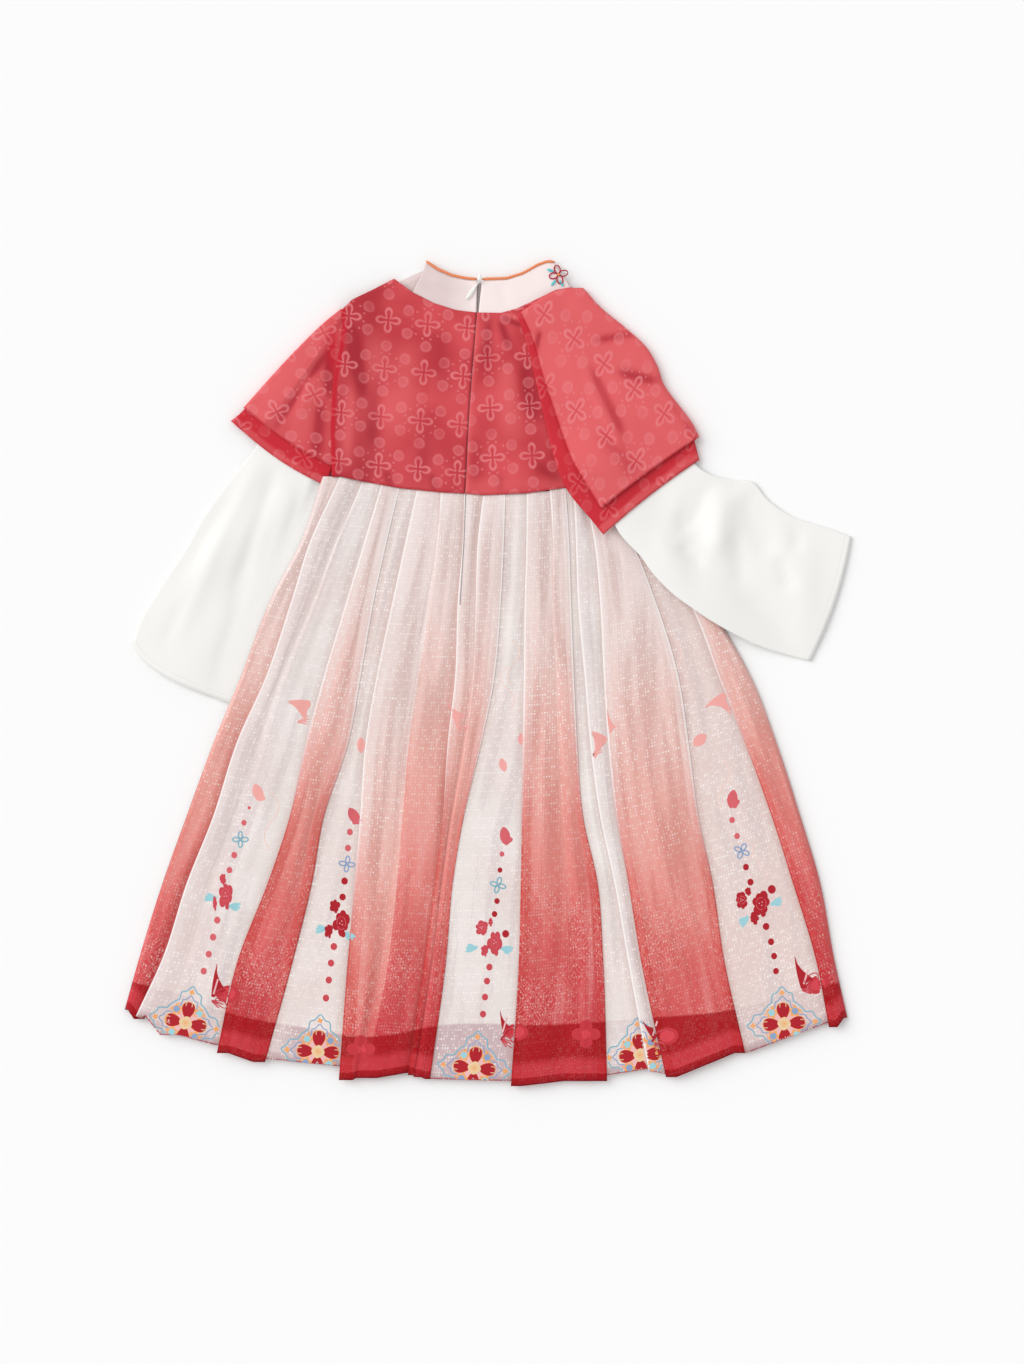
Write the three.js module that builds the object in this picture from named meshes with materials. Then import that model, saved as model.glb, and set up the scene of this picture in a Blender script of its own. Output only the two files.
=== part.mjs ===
// Girl's hanfu dress, laid flat on its front. Sizes in mm.
// Plan tables are on the cutting mat: x to the right, y towards the hem. Heights are above the mat.
import * as THREE from "three";

// Cloth
const WALL = 1.0; // thickness of a layer of cloth
const PLY = 1.4; // from the middle of one layer to the middle of the next
const HALF_PLY = PLY / 2;
const FLOOR = WALL / 2; // middle of a layer that lies on the table

// Heights of the middle of each layer over the table
const LINING_UNDER = FLOOR + PLY;
const LINING_OVER = LINING_UNDER + PLY;
const ZIP_TAPE_Z = 4.75;
const SKIRT_LOW = 6.2; // a skirt band that lies under its neighbours
const SKIRT_TOP = 13.2; // clear of every fold of the skirt
const BODICE_Z = 4.5;
const WAIST_Z = 7.6;

const clamp = (v, a, b) => Math.min(b, Math.max(a, v));
const lerp = (a, b, t) => a + (b - a) * t;
const smooth = (a, b, v) => {
  const t = clamp((v - a) / (b - a), 0, 1);
  return t * t * (3 - 2 * t);
};

// Value of a table column at v, carried on past its ends
function reading(keys, values, v) {
  let i = 0;
  while (i < keys.length - 2 && v > keys[i + 1]) i++;
  return lerp(values[i], values[i + 1], (v - keys[i]) / (keys[i + 1] - keys[i]));
}

// Point at share t of the way along an edge given by its corners
function along(edge, t) {
  const run = [0];
  for (let i = 1; i < edge.length; i++)
    run.push(run[i - 1] + Math.hypot(edge[i][0] - edge[i - 1][0], edge[i][1] - edge[i - 1][1]));
  const s = t * run[run.length - 1];
  return [reading(run, edge.map((p) => p[0]), s), reading(run, edge.map((p) => p[1]), s)];
}

// Closed cloth from rows of middle points: two faces a wall apart, joined round the rim.
// A ring of points closes each row on itself, which makes a tube.
function cloth(name, rows, material, wall = WALL, ring = false) {
  const R = rows.length;
  const C = rows[0].length;
  const at = (i, j) => {
    const row = rows[clamp(i, 0, R - 1)];
    return new THREE.Vector3(...row[ring ? (j + C) % C : clamp(j, 0, C - 1)]);
  };
  const position = [];
  const faces = [];
  for (const side of [1, -1])
    for (let i = 0; i < R; i++)
      for (let j = 0; j < C; j++) {
        const p = at(i, j);
        const down = at(i + 1, j).sub(at(i - 1, j));
        const before = p.clone().sub(at(i, j - 1));
        const after = at(i, j + 1).sub(p);
        if (before.lengthSq() === 0) before.copy(after);
        if (after.lengthSq() === 0) after.copy(before);
        const n1 = before.cross(down).normalize();
        const n2 = after.cross(down).normalize();
        const n = n1.clone().add(n2).normalize();
        const miter = 1 / Math.max(n.dot(n1), 0.7);
        p.addScaledVector(n, (side * miter * wall) / 2);
        position.push(p.x, p.y, p.z);
      }
  const id = (side, i, j) => side * R * C + i * C + (j % C);
  const quad = (a, b, c, d) => faces.push(a, b, c, a, c, d);
  const last = ring ? C : C - 1;
  for (let i = 0; i < R - 1; i++)
    for (let j = 0; j < last; j++) {
      quad(id(0, i, j), id(0, i, j + 1), id(0, i + 1, j + 1), id(0, i + 1, j));
      quad(id(1, i, j), id(1, i + 1, j), id(1, i + 1, j + 1), id(1, i, j + 1));
    }
  for (let j = 0; j < last; j++) {
    quad(id(0, 0, j), id(1, 0, j), id(1, 0, j + 1), id(0, 0, j + 1));
    quad(id(0, R - 1, j), id(0, R - 1, j + 1), id(1, R - 1, j + 1), id(1, R - 1, j));
  }
  if (!ring)
    for (let i = 0; i < R - 1; i++) {
      quad(id(0, i, 0), id(0, i + 1, 0), id(1, i + 1, 0), id(1, i, 0));
      quad(id(0, i, C - 1), id(1, i, C - 1), id(1, i + 1, C - 1), id(0, i + 1, C - 1));
    }
  return body(name, position, faces, material);
}

const dress = new THREE.Group();

// Mesh of a closed body, its faces turned out
function body(name, position, faces, material) {
  let volume = 0;
  const v = (k) => new THREE.Vector3(position[3 * k], position[3 * k + 1], position[3 * k + 2]);
  for (let k = 0; k < faces.length; k += 3)
    volume += v(faces[k]).dot(v(faces[k + 1]).cross(v(faces[k + 2])));
  if (volume < 0)
    for (let k = 0; k < faces.length; k += 3)
      [faces[k + 1], faces[k + 2]] = [faces[k + 2], faces[k + 1]];
  const geometry = new THREE.BufferGeometry();
  geometry.setAttribute("position", new THREE.Float32BufferAttribute(position, 3));
  geometry.setIndex(faces);
  geometry.computeVertexNormals();
  const mesh = new THREE.Mesh(geometry, material);
  mesh.name = name;
  dress.add(mesh);
  return mesh;
}

// Mat coordinates to the table's frame: y is turned to run up the dress
const at = (x, y, z) => [x, -y, z];

// Panel between four edges, nu by nv, lying at the height z(x, y, u, v)
function panel(name, edges, nu, nv, z, material, wall) {
  const rows = [];
  for (let i = 0; i < nv; i++) {
    const v = i / (nv - 1);
    const row = [];
    const l = along(edges.left, v);
    const r = along(edges.right, v);
    for (let j = 0; j < nu; j++) {
      const u = j / (nu - 1);
      const t = along(edges.top, u);
      const b = along(edges.bottom, u);
      const p = [0, 1].map((k) => {
        const rims = lerp(t[k], b[k], v) + lerp(l[k], r[k], u);
        const corners = lerp(
          lerp(along(edges.top, 0)[k], along(edges.top, 1)[k], u),
          lerp(along(edges.bottom, 0)[k], along(edges.bottom, 1)[k], u),
          v,
        );
        return rims - corners;
      });
      row.push(at(p[0], p[1], z(p[0], p[1], u, v)));
    }
    rows.push(row);
  }
  return cloth(name, rows, material, wall);
}

const fabric = (color, roughness) =>
  new THREE.MeshStandardMaterial({ color, roughness, metalness: 0, side: THREE.DoubleSide });
const ORGANZA = fabric("#d2444d", 0.7);
const SKIRT = fabric("#e79a94", 0.75);
const LINING = fabric("#f4eeec", 0.8);
const CHIFFON = fabric("#f3f3f0", 0.8);
const COLLAR = fabric("#f3e4e3", 0.8);
const PIPING = fabric("#e8855e", 0.7);
const PLASTIC = new THREE.MeshStandardMaterial({ color: "#f6f3ee", roughness: 0.4, metalness: 0 });

// ---------------------------------------------------------------- skirt
// Waist seam, which the skirt hangs from and the bodice ends at
const WAIST = [
  [318, 479],
  [340, 478],
  [359, 482],
  [399, 489],
  [441, 493],
  [464.6, 494],
  [484, 495.7],
  [527, 493.7],
  [566, 488],
  [606, 480],
];
const WAIST_X = WAIST.map((p) => p[0]);
const WAIST_Y = WAIST.map((p) => p[1]);
const waistAt = (x) => reading(WAIST_X, WAIST_Y, x);

// Mat y of the rows at which the folds are given. The last is each band's own hem.
const ROW_Y = [490, 540, 600, 680, 740, 820, 880, 960];

// Sides of the skirt, x on each row and then at the hem
const SIDE_LEFT = { x: [318, 301, 270, 239, 214, 184.5, 163, 138, 124], hem: 1010 };
const SIDE_RIGHT = { x: [606, 654, 705, 753, 776, 802, 820, 835, 848], hem: 1018 };

// Folds of the back from left to right. over: the side whose band lies on top, so its edge is
// the one that shows; x: that edge on each row and at the hem; hem: where the hems of the band
// on the left and on the right end; tuck: how deep it turns under at the waist and at the hem,
// where less than nothing is a soft step; rise: how far the band to its right rounds up.
const FOLDS = [
  { over: "R", x: [334, 311, 292, 265, 238, 212, 188, 162, 136], hem: [1019, 1016], tuck: [7, 8], rise: 0.5 },
  { over: "R", x: [359, 338, 317, 286, 268, 244, 224, 200, 176], hem: [1035, 1035], tuck: [8, -14], rise: 0.9 },
  { over: "R", x: [380, 365, 347, 323, 307, 289, 269, 238, 217], hem: [1045, 1053], tuck: [8, 10], rise: 1.3 },
  { over: "L", x: [399, 387, 374, 360, 349, 323, 312.5, 293, 265], hem: [1062, 1059], tuck: [6, 10], rise: 0.6 },
  { over: "R", x: [417, 406, 393, 376, 366, 360, 355, 348, 339], hem: [1066, 1080], tuck: [8, 12], rise: 0.8 },
  { over: "R", x: [441, 438, 432, 422, 414, 408, 404, 396, 374], hem: [1078, 1078], tuck: [8, -16], rise: 0.9 },
  { over: "R", x: [464.5, 463, 458, 455, 448, 442.5, 435.5, 424.5, 408], hem: [1073, 1075], tuck: [8, 6], rise: 0.4 },
  { over: "R", x: [484, 478, 476, 473, 466, 453, 445, 436, 419], hem: [1077, 1077], tuck: [8, -3], rise: 0.5 },
  { over: "L", x: [505.5, 504, 501, 494, 482, 463, 453, 446, 430], hem: [1079, 1079], tuck: [6, 10], rise: 0.9 },
  { over: "R", x: [527, 526.6, 525, 524, 523, 522, 521, 519, 511], hem: [1081, 1086], tuck: [8, 9], rise: 0.7 },
  { over: "R", x: [550, 553, 554, 560, 563, 568, 574, 578, 576], hem: [1081, 1081], tuck: [8, -10], rise: 0.4 },
  { over: "L", x: [566, 569, 571, 574, 577, 583.5, 597, 603, 607], hem: [1081, 1075], tuck: [4, 9], rise: 0.3 },
  { over: "R", x: [574, 576, 578, 585, 590, 601, 614, 628, 649], hem: [1069, 1072], tuck: [4, 7], rise: 0.3 },
  { over: "R", x: [584, 594, 600, 604, 608, 617, 628, 641, 666], hem: [1074, 1077], tuck: [3, 9], rise: 1.4 },
  { over: "L", x: [594, 630, 655, 679, 688, 699, 712, 724, 745], hem: [1053, 1053], tuck: [3, 9], rise: 1.0 },
  { over: "R", x: [600, 647, 688, 720, 744, 773, 792, 816, 829], hem: [1023, 1027], tuck: [2.5, 7], rise: 0.8 },
];
const CENTRE_FOLD = 6; // the fold over the zip, where the two back panels meet
const ROWS = ROW_Y.length + 2;

// Height of a left sleeve that lies under the skirt's left side
const SLEEVE_LIFT = 2.9;
const SLEEVE_SEAM = { y: [466, 505, 560, 625, 708], x: [340, 322, 305, 285, 262] };
const overLeftSleeve = (x, y) => {
  const past = x - reading(SLEEVE_SEAM.y, SLEEVE_SEAM.x, y);
  return SLEEVE_LIFT * (1 - smooth(6, 38, past)) * (1 - smooth(722, 770, y));
};

// Plan point of a column on row k, from its x on each row and its own hem. A piece that ends
// higher than the skirt gives the skirt's hem too, and follows the skirt's flare.
function skirtPoint(xs, hem, k, shift, full = hem) {
  const n = ROW_Y.length;
  if (k === 0) return [xs[0] + shift, waistAt(xs[0] + shift) + 0.4];
  if (k < n) return [xs[k] + shift, ROW_Y[k]];
  const t = (k - n + 1) / (ROWS - n);
  const flare = (t * (hem - ROW_Y[n - 1])) / (full - ROW_Y[n - 1] || 1);
  return [lerp(xs[n - 1], xs[n], full === hem ? t : flare) + shift, lerp(ROW_Y[n - 1], hem, t)];
}

// x of a column on row k
const columnX = (xs, k) => skirtPoint(xs, 0, k, 0)[0];

// How deep a fold turns under on row k, held within the band that it turns under
function tuckOn(i, k) {
  const fold = FOLDS[i];
  const depth = lerp(fold.tuck[0], fold.tuck[1], Math.sqrt(k / (ROWS - 1)));
  const next = (FOLDS[i + 1] || SIDE_RIGHT).x;
  const before = (FOLDS[i - 1] || SIDE_LEFT).x;
  const [from, to] = fold.over === "R" ? [fold.x, next] : [before, fold.x];
  const band = columnX(to, k) - columnX(from, k);
  return Math.min(depth, 0.4 * band - 0.8);
}

// Columns of the back across row k: [x, y, z] in mat coordinates, split at the centre fold
function backRow(k) {
  const t = k / (ROWS - 1);
  const HIGH = SKIRT_LOW + 2 * PLY;
  const parts = [[]];
  const put = (xs, hem, shift, z) => {
    const [x, y] = skirtPoint(xs, hem, k, shift);
    parts[parts.length - 1].push(at(x, y, z + overLeftSleeve(x, y)));
  };
  // A band from the end of one fold to the start of the next, rounded in its middle
  const band = (a, b, rise) => {
    const wide = columnX(b.xs, k) + b.shift - columnX(a.xs, k) - a.shift;
    put(a.xs, a.hem, a.shift, a.z);
    const xs = a.xs.map((x, n) => lerp(x + a.shift, b.xs[n] + b.shift, 0.5));
    const swell = rise * (0.25 + 0.75 * t) * clamp(wide / 14, 0, 1);
    put(xs, lerp(a.hem, b.hem, 0.5), 0, lerp(a.z, b.z, 0.5) + swell);
    put(b.xs, b.hem, b.shift, b.z);
  };
  // The side seam, where the back comes down to the front
  put(SIDE_LEFT.x, SIDE_LEFT.hem, 0.4, FLOOR + PLY);
  put(SIDE_LEFT.x, SIDE_LEFT.hem, 1.2, LINING_OVER);
  let start = { xs: SIDE_LEFT.x, hem: SIDE_LEFT.hem, shift: 4, z: SKIRT_LOW };
  let rise = 0.5;
  FOLDS.forEach((f, i) => {
    const depth = tuckOn(i, k);
    const round = HALF_PLY * clamp(depth / 4, 0, 1);
    const right = f.over === "R";
    const dir = right ? 1 : -1;
    const clear = Math.max(2, depth + 1.4);
    const end = right
      ? { xs: f.x, hem: f.hem[0], shift: Math.min(0, depth) - 2, z: SKIRT_LOW }
      : { xs: f.x, hem: f.hem[0], shift: -clear, z: HIGH };
    band(start, end, rise);
    const [under, upper] = right ? f.hem : [f.hem[1], f.hem[0]];
    const steps = [
      [dir * (depth - round), SKIRT_LOW, under],
      [dir * depth, SKIRT_LOW + HALF_PLY, under],
      [dir * (depth - round), SKIRT_LOW + PLY, (under + upper) / 2],
      [dir * round, SKIRT_LOW + PLY, upper],
      [0, SKIRT_LOW + 1.5 * PLY, upper],
      [dir * round, HIGH, upper],
    ];
    if (!right) steps.reverse();
    steps.forEach(([shift, z, hem], s) => {
      if (i === CENTRE_FOLD && s === 1) parts.push([]);
      else put(f.x, hem, shift, z);
    });
    start = right
      ? { xs: f.x, hem: f.hem[1], shift: clear, z: HIGH }
      : { xs: f.x, hem: f.hem[1], shift: 2, z: SKIRT_LOW };
    rise = f.rise;
  });
  band(start, { xs: SIDE_RIGHT.x, hem: SIDE_RIGHT.hem, shift: -4, z: SKIRT_LOW }, rise);
  put(SIDE_RIGHT.x, SIDE_RIGHT.hem, -1.2, LINING_OVER);
  put(SIDE_RIGHT.x, SIDE_RIGHT.hem, -0.4, FLOOR + PLY);
  return parts;
}
const backRows = Array.from({ length: ROWS }, (_, k) => backRow(k));
cloth("skirt_back_left", backRows.map((r) => r[0]), SKIRT);
cloth("skirt_back_right", backRows.map((r) => r[1]), SKIRT);

// Front of the skirt: flat on the table, with pressed pleats that show as grooves underneath
const FRONT_HEM = { x: [124, 230, 340, 468, 600, 740, 848], y: [1006, 1044, 1062, 1070, 1066, 1044, 1012] };
const FRONT_PLEATS = [0.22, 0.31, 0.42, 0.58, 0.69, 0.8, 0.9];
const SIDE_SHARES = [0, 0.03, 0.07, 0.12, 0.16]; // over the left sleeve's hidden edge
const frontShares = [...SIDE_SHARES, 0.5, 0.85, 0.97, 1];
for (const p of FRONT_PLEATS) frontShares.push(p - 0.012, p, p + 0.012);
frontShares.sort((a, b) => a - b);
const frontRow = (k) =>
  frontShares.map((s) => {
    const xs = SIDE_LEFT.x.map((x, n) => lerp(x + 0.6, SIDE_RIGHT.x[n] - 0.6, s));
    const hem = reading(FRONT_HEM.x, FRONT_HEM.y, xs[8]);
    const [x, y] = skirtPoint(xs, hem, k, 0);
    return at(x, y, FLOOR + (FRONT_PLEATS.includes(s) ? 0.35 : 0) + overLeftSleeve(x, y));
  });
cloth("skirt_front", Array.from({ length: ROWS }, (_, k) => frontRow(k)), SKIRT);

// Lining: a flattened tube inside the skirt, its hem about 45 mm above the skirt's
const LINING_INSET = 3.2; // from the skirt's side seams
const LINING_HEM = {
  x: [124, 150, 232, 310, 365, 450, 555, 651, 731, 826, 848],
  y: [974, 985, 1013, 1028, 1036, 1024, 1024, 1017, 1009, 984, 976],
};
const LINING_SHARES = [...SIDE_SHARES, 0.25, 0.4, 0.6, 0.8, 0.9, 1];
const liningRow = (k) => {
  const point = (s, z, out) => {
    const xs = SIDE_LEFT.x.map((x, n) =>
      lerp(x + LINING_INSET, SIDE_RIGHT.x[n] - LINING_INSET, s) + out,
    );
    const full = reading(FRONT_HEM.x, FRONT_HEM.y, xs[8]) + 5;
    const [x, y] = skirtPoint(xs, reading(LINING_HEM.x, LINING_HEM.y, xs[8]), k, 0, full);
    return at(x, y + (k ? 0 : 3), z + overLeftSleeve(x, y));
  };
  return [
    ...LINING_SHARES.map((s) => point(s, LINING_UNDER, 0)),
    point(1, LINING_UNDER + HALF_PLY, HALF_PLY),
    ...[...LINING_SHARES].reverse().map((s) => point(s, LINING_OVER, 0)),
    point(0, LINING_UNDER + HALF_PLY, -HALF_PLY),
  ];
};
cloth("skirt_lining", Array.from({ length: ROWS }, (_, k) => liningRow(k)), LINING, 0.9 * WALL, true);

// ---------------------------------------------------------------- sleeves
// Height that lifts the right sleeve and cape over the skirt's right side
const skirtSide = (y) => reading([...ROW_Y], SIDE_RIGHT.x, Math.max(y, 482));
const overSkirt = (x, y) =>
  (1 - smooth(-20, 48, 0.8 * (x - skirtSide(y)))) * smooth(426, 476, y);

// Each row of a sleeve from the armhole to the cuff: its upper edge a, its underarm edge b,
// base: middle of its lower layer where it lies on the table, puff: how far its top swells,
// bow: how far the row's middle runs ahead of its ends. lands: the shares of the width between
// which the lower layer comes down to the table beside the cape's front half.
const SLEEVES = {
  sleeve_left: {
    rows: [
      { a: [338, 322], b: [339, 464], base: 3.3, puff: 0, bow: 0 },
      { a: [304, 357], b: [337, 473], base: 3.3, puff: 0, bow: 0 },
      { a: [280, 389], b: [334, 481], base: 3.3, puff: 0, bow: 0 },
      { a: [264, 414], b: [329, 491], base: 3.3, puff: 0, bow: 0 },
      { a: [258.5, 443], b: [323, 503], base: 3.3, puff: 0.2, bow: 0 },
      { a: [235, 474], b: [315, 530], base: 1.2, puff: 3.0, bow: 0 },
      { a: [204, 516], b: [305, 560], base: 0.5, puff: 4.2, bow: 0 },
      { a: [185, 550], b: [296, 590], base: 0.5, puff: 4.4, bow: 2 },
      { a: [162, 584], b: [285, 625], base: 0.5, puff: 3.6, bow: 6 },
      { a: [141, 619], b: [273, 668], base: 0.5, puff: 2.6, bow: 10 },
      { a: [133, 642], b: [262, 706], base: 0.5, puff: 1.6, bow: 13 },
    ],
    swell: (s, i) => Math.max(0, Math.sin(Math.PI * clamp(s / 0.72, 0, 1))) * (1 + 0.25 * Math.sin(1.7 * i + 9 * s)),
    lift: () => 0,
    lands: [0.74, 0.86],
  },
  sleeve_right: {
    rows: [
      { a: [600, 326], b: [600, 466], base: 3.3, puff: 0, bow: 0 },
      { a: [623, 348], b: [602, 486], base: 3.3, puff: 0, bow: 0 },
      { a: [643, 374], b: [607, 506], base: 3.3, puff: 0, bow: 0 },
      { a: [661, 406], b: [612, 520], base: 3.3, puff: 0, bow: 0 },
      { a: [681, 434], b: [619, 533], base: 3.3, puff: 0, bow: 0 },
      { a: [690, 458], b: [628, 544], base: 3.3, puff: 0, bow: 0 },
      { a: [709, 474], b: [640, 556], base: 3.0, puff: 1.4, bow: 0 },
      { a: [736, 480], b: [652, 573], base: 0.6, puff: 3.8, bow: 0 },
      { a: [754, 482], b: [670, 592], base: 0.5, puff: 4.6, bow: 0 },
      { a: [768, 499], b: [690, 607], base: 0.5, puff: 4.4, bow: 0 },
      { a: [790, 515], b: [716, 624], base: 0.5, puff: 3.6, bow: 2 },
      { a: [812, 523], b: [752, 643], base: 0.5, puff: 3.2, bow: 4 },
      { a: [834, 530], b: [784, 654], base: 0.5, puff: 2.2, bow: 5 },
      { a: [852, 537], b: [811, 661], base: 0.5, puff: 1.4, bow: 5 },
    ],
    swell: (s, i) => Math.sin(Math.PI * s) * (1 + 0.35 * Math.sin(2.1 * i - 8 * s)),
    lift: overSkirt,
    lands: [2, 3],
  },
};
const SLEEVE_SHARES = [0, 0.04, 0.16, 0.3, 0.44, 0.58, 0.72, 0.86, 0.97, 1];
for (const [name, { rows, swell, lift, lands }] of Object.entries(SLEEVES)) {
  const rings = rows.map(({ a, b, base, puff, bow }, i) => {
    const [a0, b0] = i ? [rows[i - 1].a, rows[i - 1].b] : [rows[1].a, rows[1].b];
    const ahead = [a[0] + b[0] - a0[0] - b0[0], a[1] + b[1] - a0[1] - b0[1]];
    const length = Math.hypot(...ahead) || 1;
    const across = Math.hypot(b[0] - a[0], b[1] - a[1]);
    const point = (s, layer, out) => {
      const share = s + out / across;
      const push = (bow * Math.sin(Math.PI * s)) / length;
      const x = lerp(a[0], b[0], share) + ahead[0] * push;
      const y = lerp(a[1], b[1], share) + ahead[1] * push;
      const low = lerp(base, FLOOR, smooth(lands[0], lands[1], s));
      const held = low + (SKIRT_TOP - low) * lift(x, y);
      return at(x, y, held + layer * PLY + (layer === 1 ? puff * swell(s, i) : 0));
    };
    const n = SLEEVE_SHARES.length;
    return [
      ...SLEEVE_SHARES.map((s) => point(s, 0, 0)),
      point(1, 0.5, HALF_PLY),
      ...[...SLEEVE_SHARES].reverse().map((s) => point(s, 1, 0)),
      point(0, 0.5, -HALF_PLY),
    ].slice(0, 2 * n + 2);
  });
  cloth(name, rings, CHIFFON, 0.9 * WALL, true);
}

// ---------------------------------------------------------------- capes
// Two tiers each side, folded over the shoulder: a front half on the table, the sleeve in
// between, and a back half on top. Each row: out, the fold at the shoulder's edge; front, the
// inner edge underneath; back, the inner edge on top; rise: extra height of the top's middle.
const CAPES = {
  cape_left_under: {
    inset: 1.8,
    table: FLOOR + PLY,
    top: FLOOR + 4 * PLY,
    rows: [
      { out: [342, 311], front: [337, 316], back: [350, 318], rise: 0 },
      { out: [320, 328], front: [335, 342], back: [348, 340], rise: 0.3 },
      { out: [291, 357], front: [333, 376], back: [344, 372], rise: 0.6 },
      { out: [266, 386], front: [330, 408], back: [341, 404], rise: 0.8 },
      { out: [246, 410], front: [319, 436], back: [339, 434], rise: 0.8 },
      { out: [240, 424], front: [307, 456], back: [336, 456], rise: 0.6 },
      { out: [254, 438], front: [298, 470], back: [326, 477], rise: 0.4 },
    ],
    hem: 8,
  },
  cape_left_upper: {
    inset: 0,
    table: FLOOR,
    top: FLOOR + 5 * PLY,
    rows: [
      { out: [341, 309], front: [338, 313], back: [352, 316], rise: 0 },
      { out: [320, 326.5], front: [336, 338], back: [350, 338], rise: 0.4 },
      { out: [291, 355.5], front: [334, 370], back: [346, 368], rise: 0.8 },
      { out: [265, 384.5], front: [331, 400], back: [343, 396], rise: 1.0 },
      { out: [243, 407.5], front: [320, 428], back: [341, 424], rise: 1.0 },
      { out: [231, 421], front: [311, 442], back: [339, 446], rise: 0.8 },
      { out: [250, 440], front: [300, 458], back: [336, 464], rise: 0.4 },
    ],
    hem: 3,
  },
  cape_right_under: {
    inset: 1.8,
    table: FLOOR + PLY,
    top: FLOOR + 4 * PLY,
    rows: [
      { out: [586, 292], front: [601, 322], back: [521, 321], rise: 0 },
      { out: [602, 309], front: [604, 342], back: [527, 346], rise: 0.5 },
      { out: [623, 327], front: [607, 368], back: [538, 391], rise: 0.8 },
      { out: [644, 347], front: [611, 396], back: [548, 434], rise: 1.0 },
      { out: [656, 367], front: [615, 424], back: [558, 471], rise: 1.0 },
      { out: [664, 388], front: [620, 450], back: [570, 495], rise: 0.9 },
      { out: [689, 421], front: [628, 478], back: [591, 520], rise: 0.6 },
      { out: [701, 459], front: [642, 500], back: [603, 535], rise: 0.3 },
    ],
    hem: -3,
  },
  cape_right_upper: {
    inset: 0,
    table: FLOOR,
    top: FLOOR + 5 * PLY,
    rows: [
      { out: [584, 289], front: [601, 318], back: [528, 322], rise: 0 },
      { out: [601, 308], front: [604, 336], back: [534, 342], rise: 0.7 },
      { out: [623, 326], front: [607, 360], back: [543, 376], rise: 1.2 },
      { out: [645, 346], front: [611, 388], back: [554, 409], rise: 1.5 },
      { out: [657, 366], front: [615, 414], back: [563, 436], rise: 1.5 },
      { out: [665, 387], front: [620, 438], back: [573, 462], rise: 1.2 },
      { out: [690, 420], front: [627, 462], back: [588, 488], rise: 0.9 },
      { out: [699, 437], front: [637, 482], back: [601, 509], rise: 0.4 },
    ],
    hem: -2,
  },
};
const CAPE_SHARES = [0.1, 0.25, 0.4, 0.55, 0.7, 0.85, 1];
for (const [name, { inset, table, top, rows, hem }] of Object.entries(CAPES)) {
  const right = name.includes("right");
  const dir = right ? -1 : 1; // from the shoulder's edge towards the body
  const over = inset ? 0 : 2.4; // the upper tier's slack where both climb over the sleeve
  const lifted = (x, y) =>
    right ? (SKIRT_TOP - 3.3) * overSkirt(x, y) + over * smooth(372, 424, y) : 0;
  const made = rows.map(({ out, front, back, rise }, i) => {
    const o = [out[0] + dir * inset, out[1] + inset * 0.6];
    const on = (to, s) => {
      const bow = i === rows.length - 1 ? hem * Math.sin(Math.PI * s) : 0;
      return [lerp(o[0], to[0], s), lerp(o[1], to[1], s) + bow];
    };
    const row = [];
    for (const s of [1, 0.66, 0.33, 0.08]) row.push(at(...on(front, s), table));
    row.push(at(...on(front, 0.01), table + 0.9));
    row.push(at(...on(back, 0.0), lerp(table, top, 0.5)));
    row.push(at(...on(back, 0.01), top - 0.9));
    for (const s of [0.05, ...CAPE_SHARES]) {
      const [x, y] = on(back, s);
      const swell = rise * Math.sin(Math.PI * Math.min(1, s * 1.05)) * (1 + 0.4 * Math.sin(11 * s + i));
      row.push(at(x, y, top + lifted(x, y) + Math.max(0, swell)));
    }
    return row;
  });
  cloth(name, made, ORGANZA);
}

// ---------------------------------------------------------------- bodice
const CENTRE_BACK = [
  [476.6, 312.4],
  [472.4, 365],
  [468.4, 419],
  [464.9, 493.6],
];
const shifted = (edge, dx, dy = 0) => edge.map(([x, y]) => [x + dx, y + dy]);
const waistRun = (x0, x1) => {
  const run = WAIST.filter((p) => p[0] > x0 && p[0] < x1);
  return [[x0, waistAt(x0)], ...run, [x1, waistAt(x1)]].map(([x, y]) => [x, y - 0.6]);
};
const ARMHOLE_LEFT = [
  [341, 311],
  [343, 326],
  [340, 347],
  [334, 376],
  [332, 401],
  [331, 427],
  [332, 477],
];
const ARMHOLE_RIGHT = [
  [594, 316],
  [594, 336],
  [596, 400],
  [598, 440],
  [599, 481],
];
// The back rides over the cape at its left edge and meets the skirt's height at the waist
const backHeight = (x, y) => {
  const left = 1 - smooth(20, 52, x - 333);
  const low = smooth(440, 492, y);
  const crease = 0.35 * Math.sin((x - 340) / 13 + y / 60) * smooth(320, 350, y);
  return Math.max(lerp(BODICE_Z, WAIST_Z, low), lerp(BODICE_Z, FLOOR + 6.1 * PLY, left)) + crease * (1 - left);
};
panel(
  "bodice_back_left",
  {
    top: [[341, 311], [352, 300], [372, 290], [394, 278.4], [413, 292.4], [434, 303], [456, 310], [476.6, 312.4]],
    bottom: waistRun(332, 464.9),
    left: ARMHOLE_LEFT,
    right: CENTRE_BACK,
  },
  15,
  11,
  backHeight,
  ORGANZA,
);
const CENTRE_GAP = 1.3; // clear walls each side of the zip's line
panel(
  "bodice_back_right",
  {
    top: [[477.9, 312.4], [501, 312.8], [517, 308.4], [538, 298.4], [556, 289.6], [572, 287], [583, 299], [594, 316]],
    bottom: waistRun(464.9 + CENTRE_GAP, 599),
    left: shifted(CENTRE_BACK, CENTRE_GAP),
    right: ARMHOLE_RIGHT,
  },
  14,
  11,
  (x, y) => backHeight(x, y) - 0.25 * smooth(500, 530, x) * (1 - smooth(430, 460, y)),
  ORGANZA,
);
const FRONT_NECK = [[396, 283], [420, 322], [445, 342], [484, 349], [524, 340], [550, 318], [573, 290]];
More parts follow.
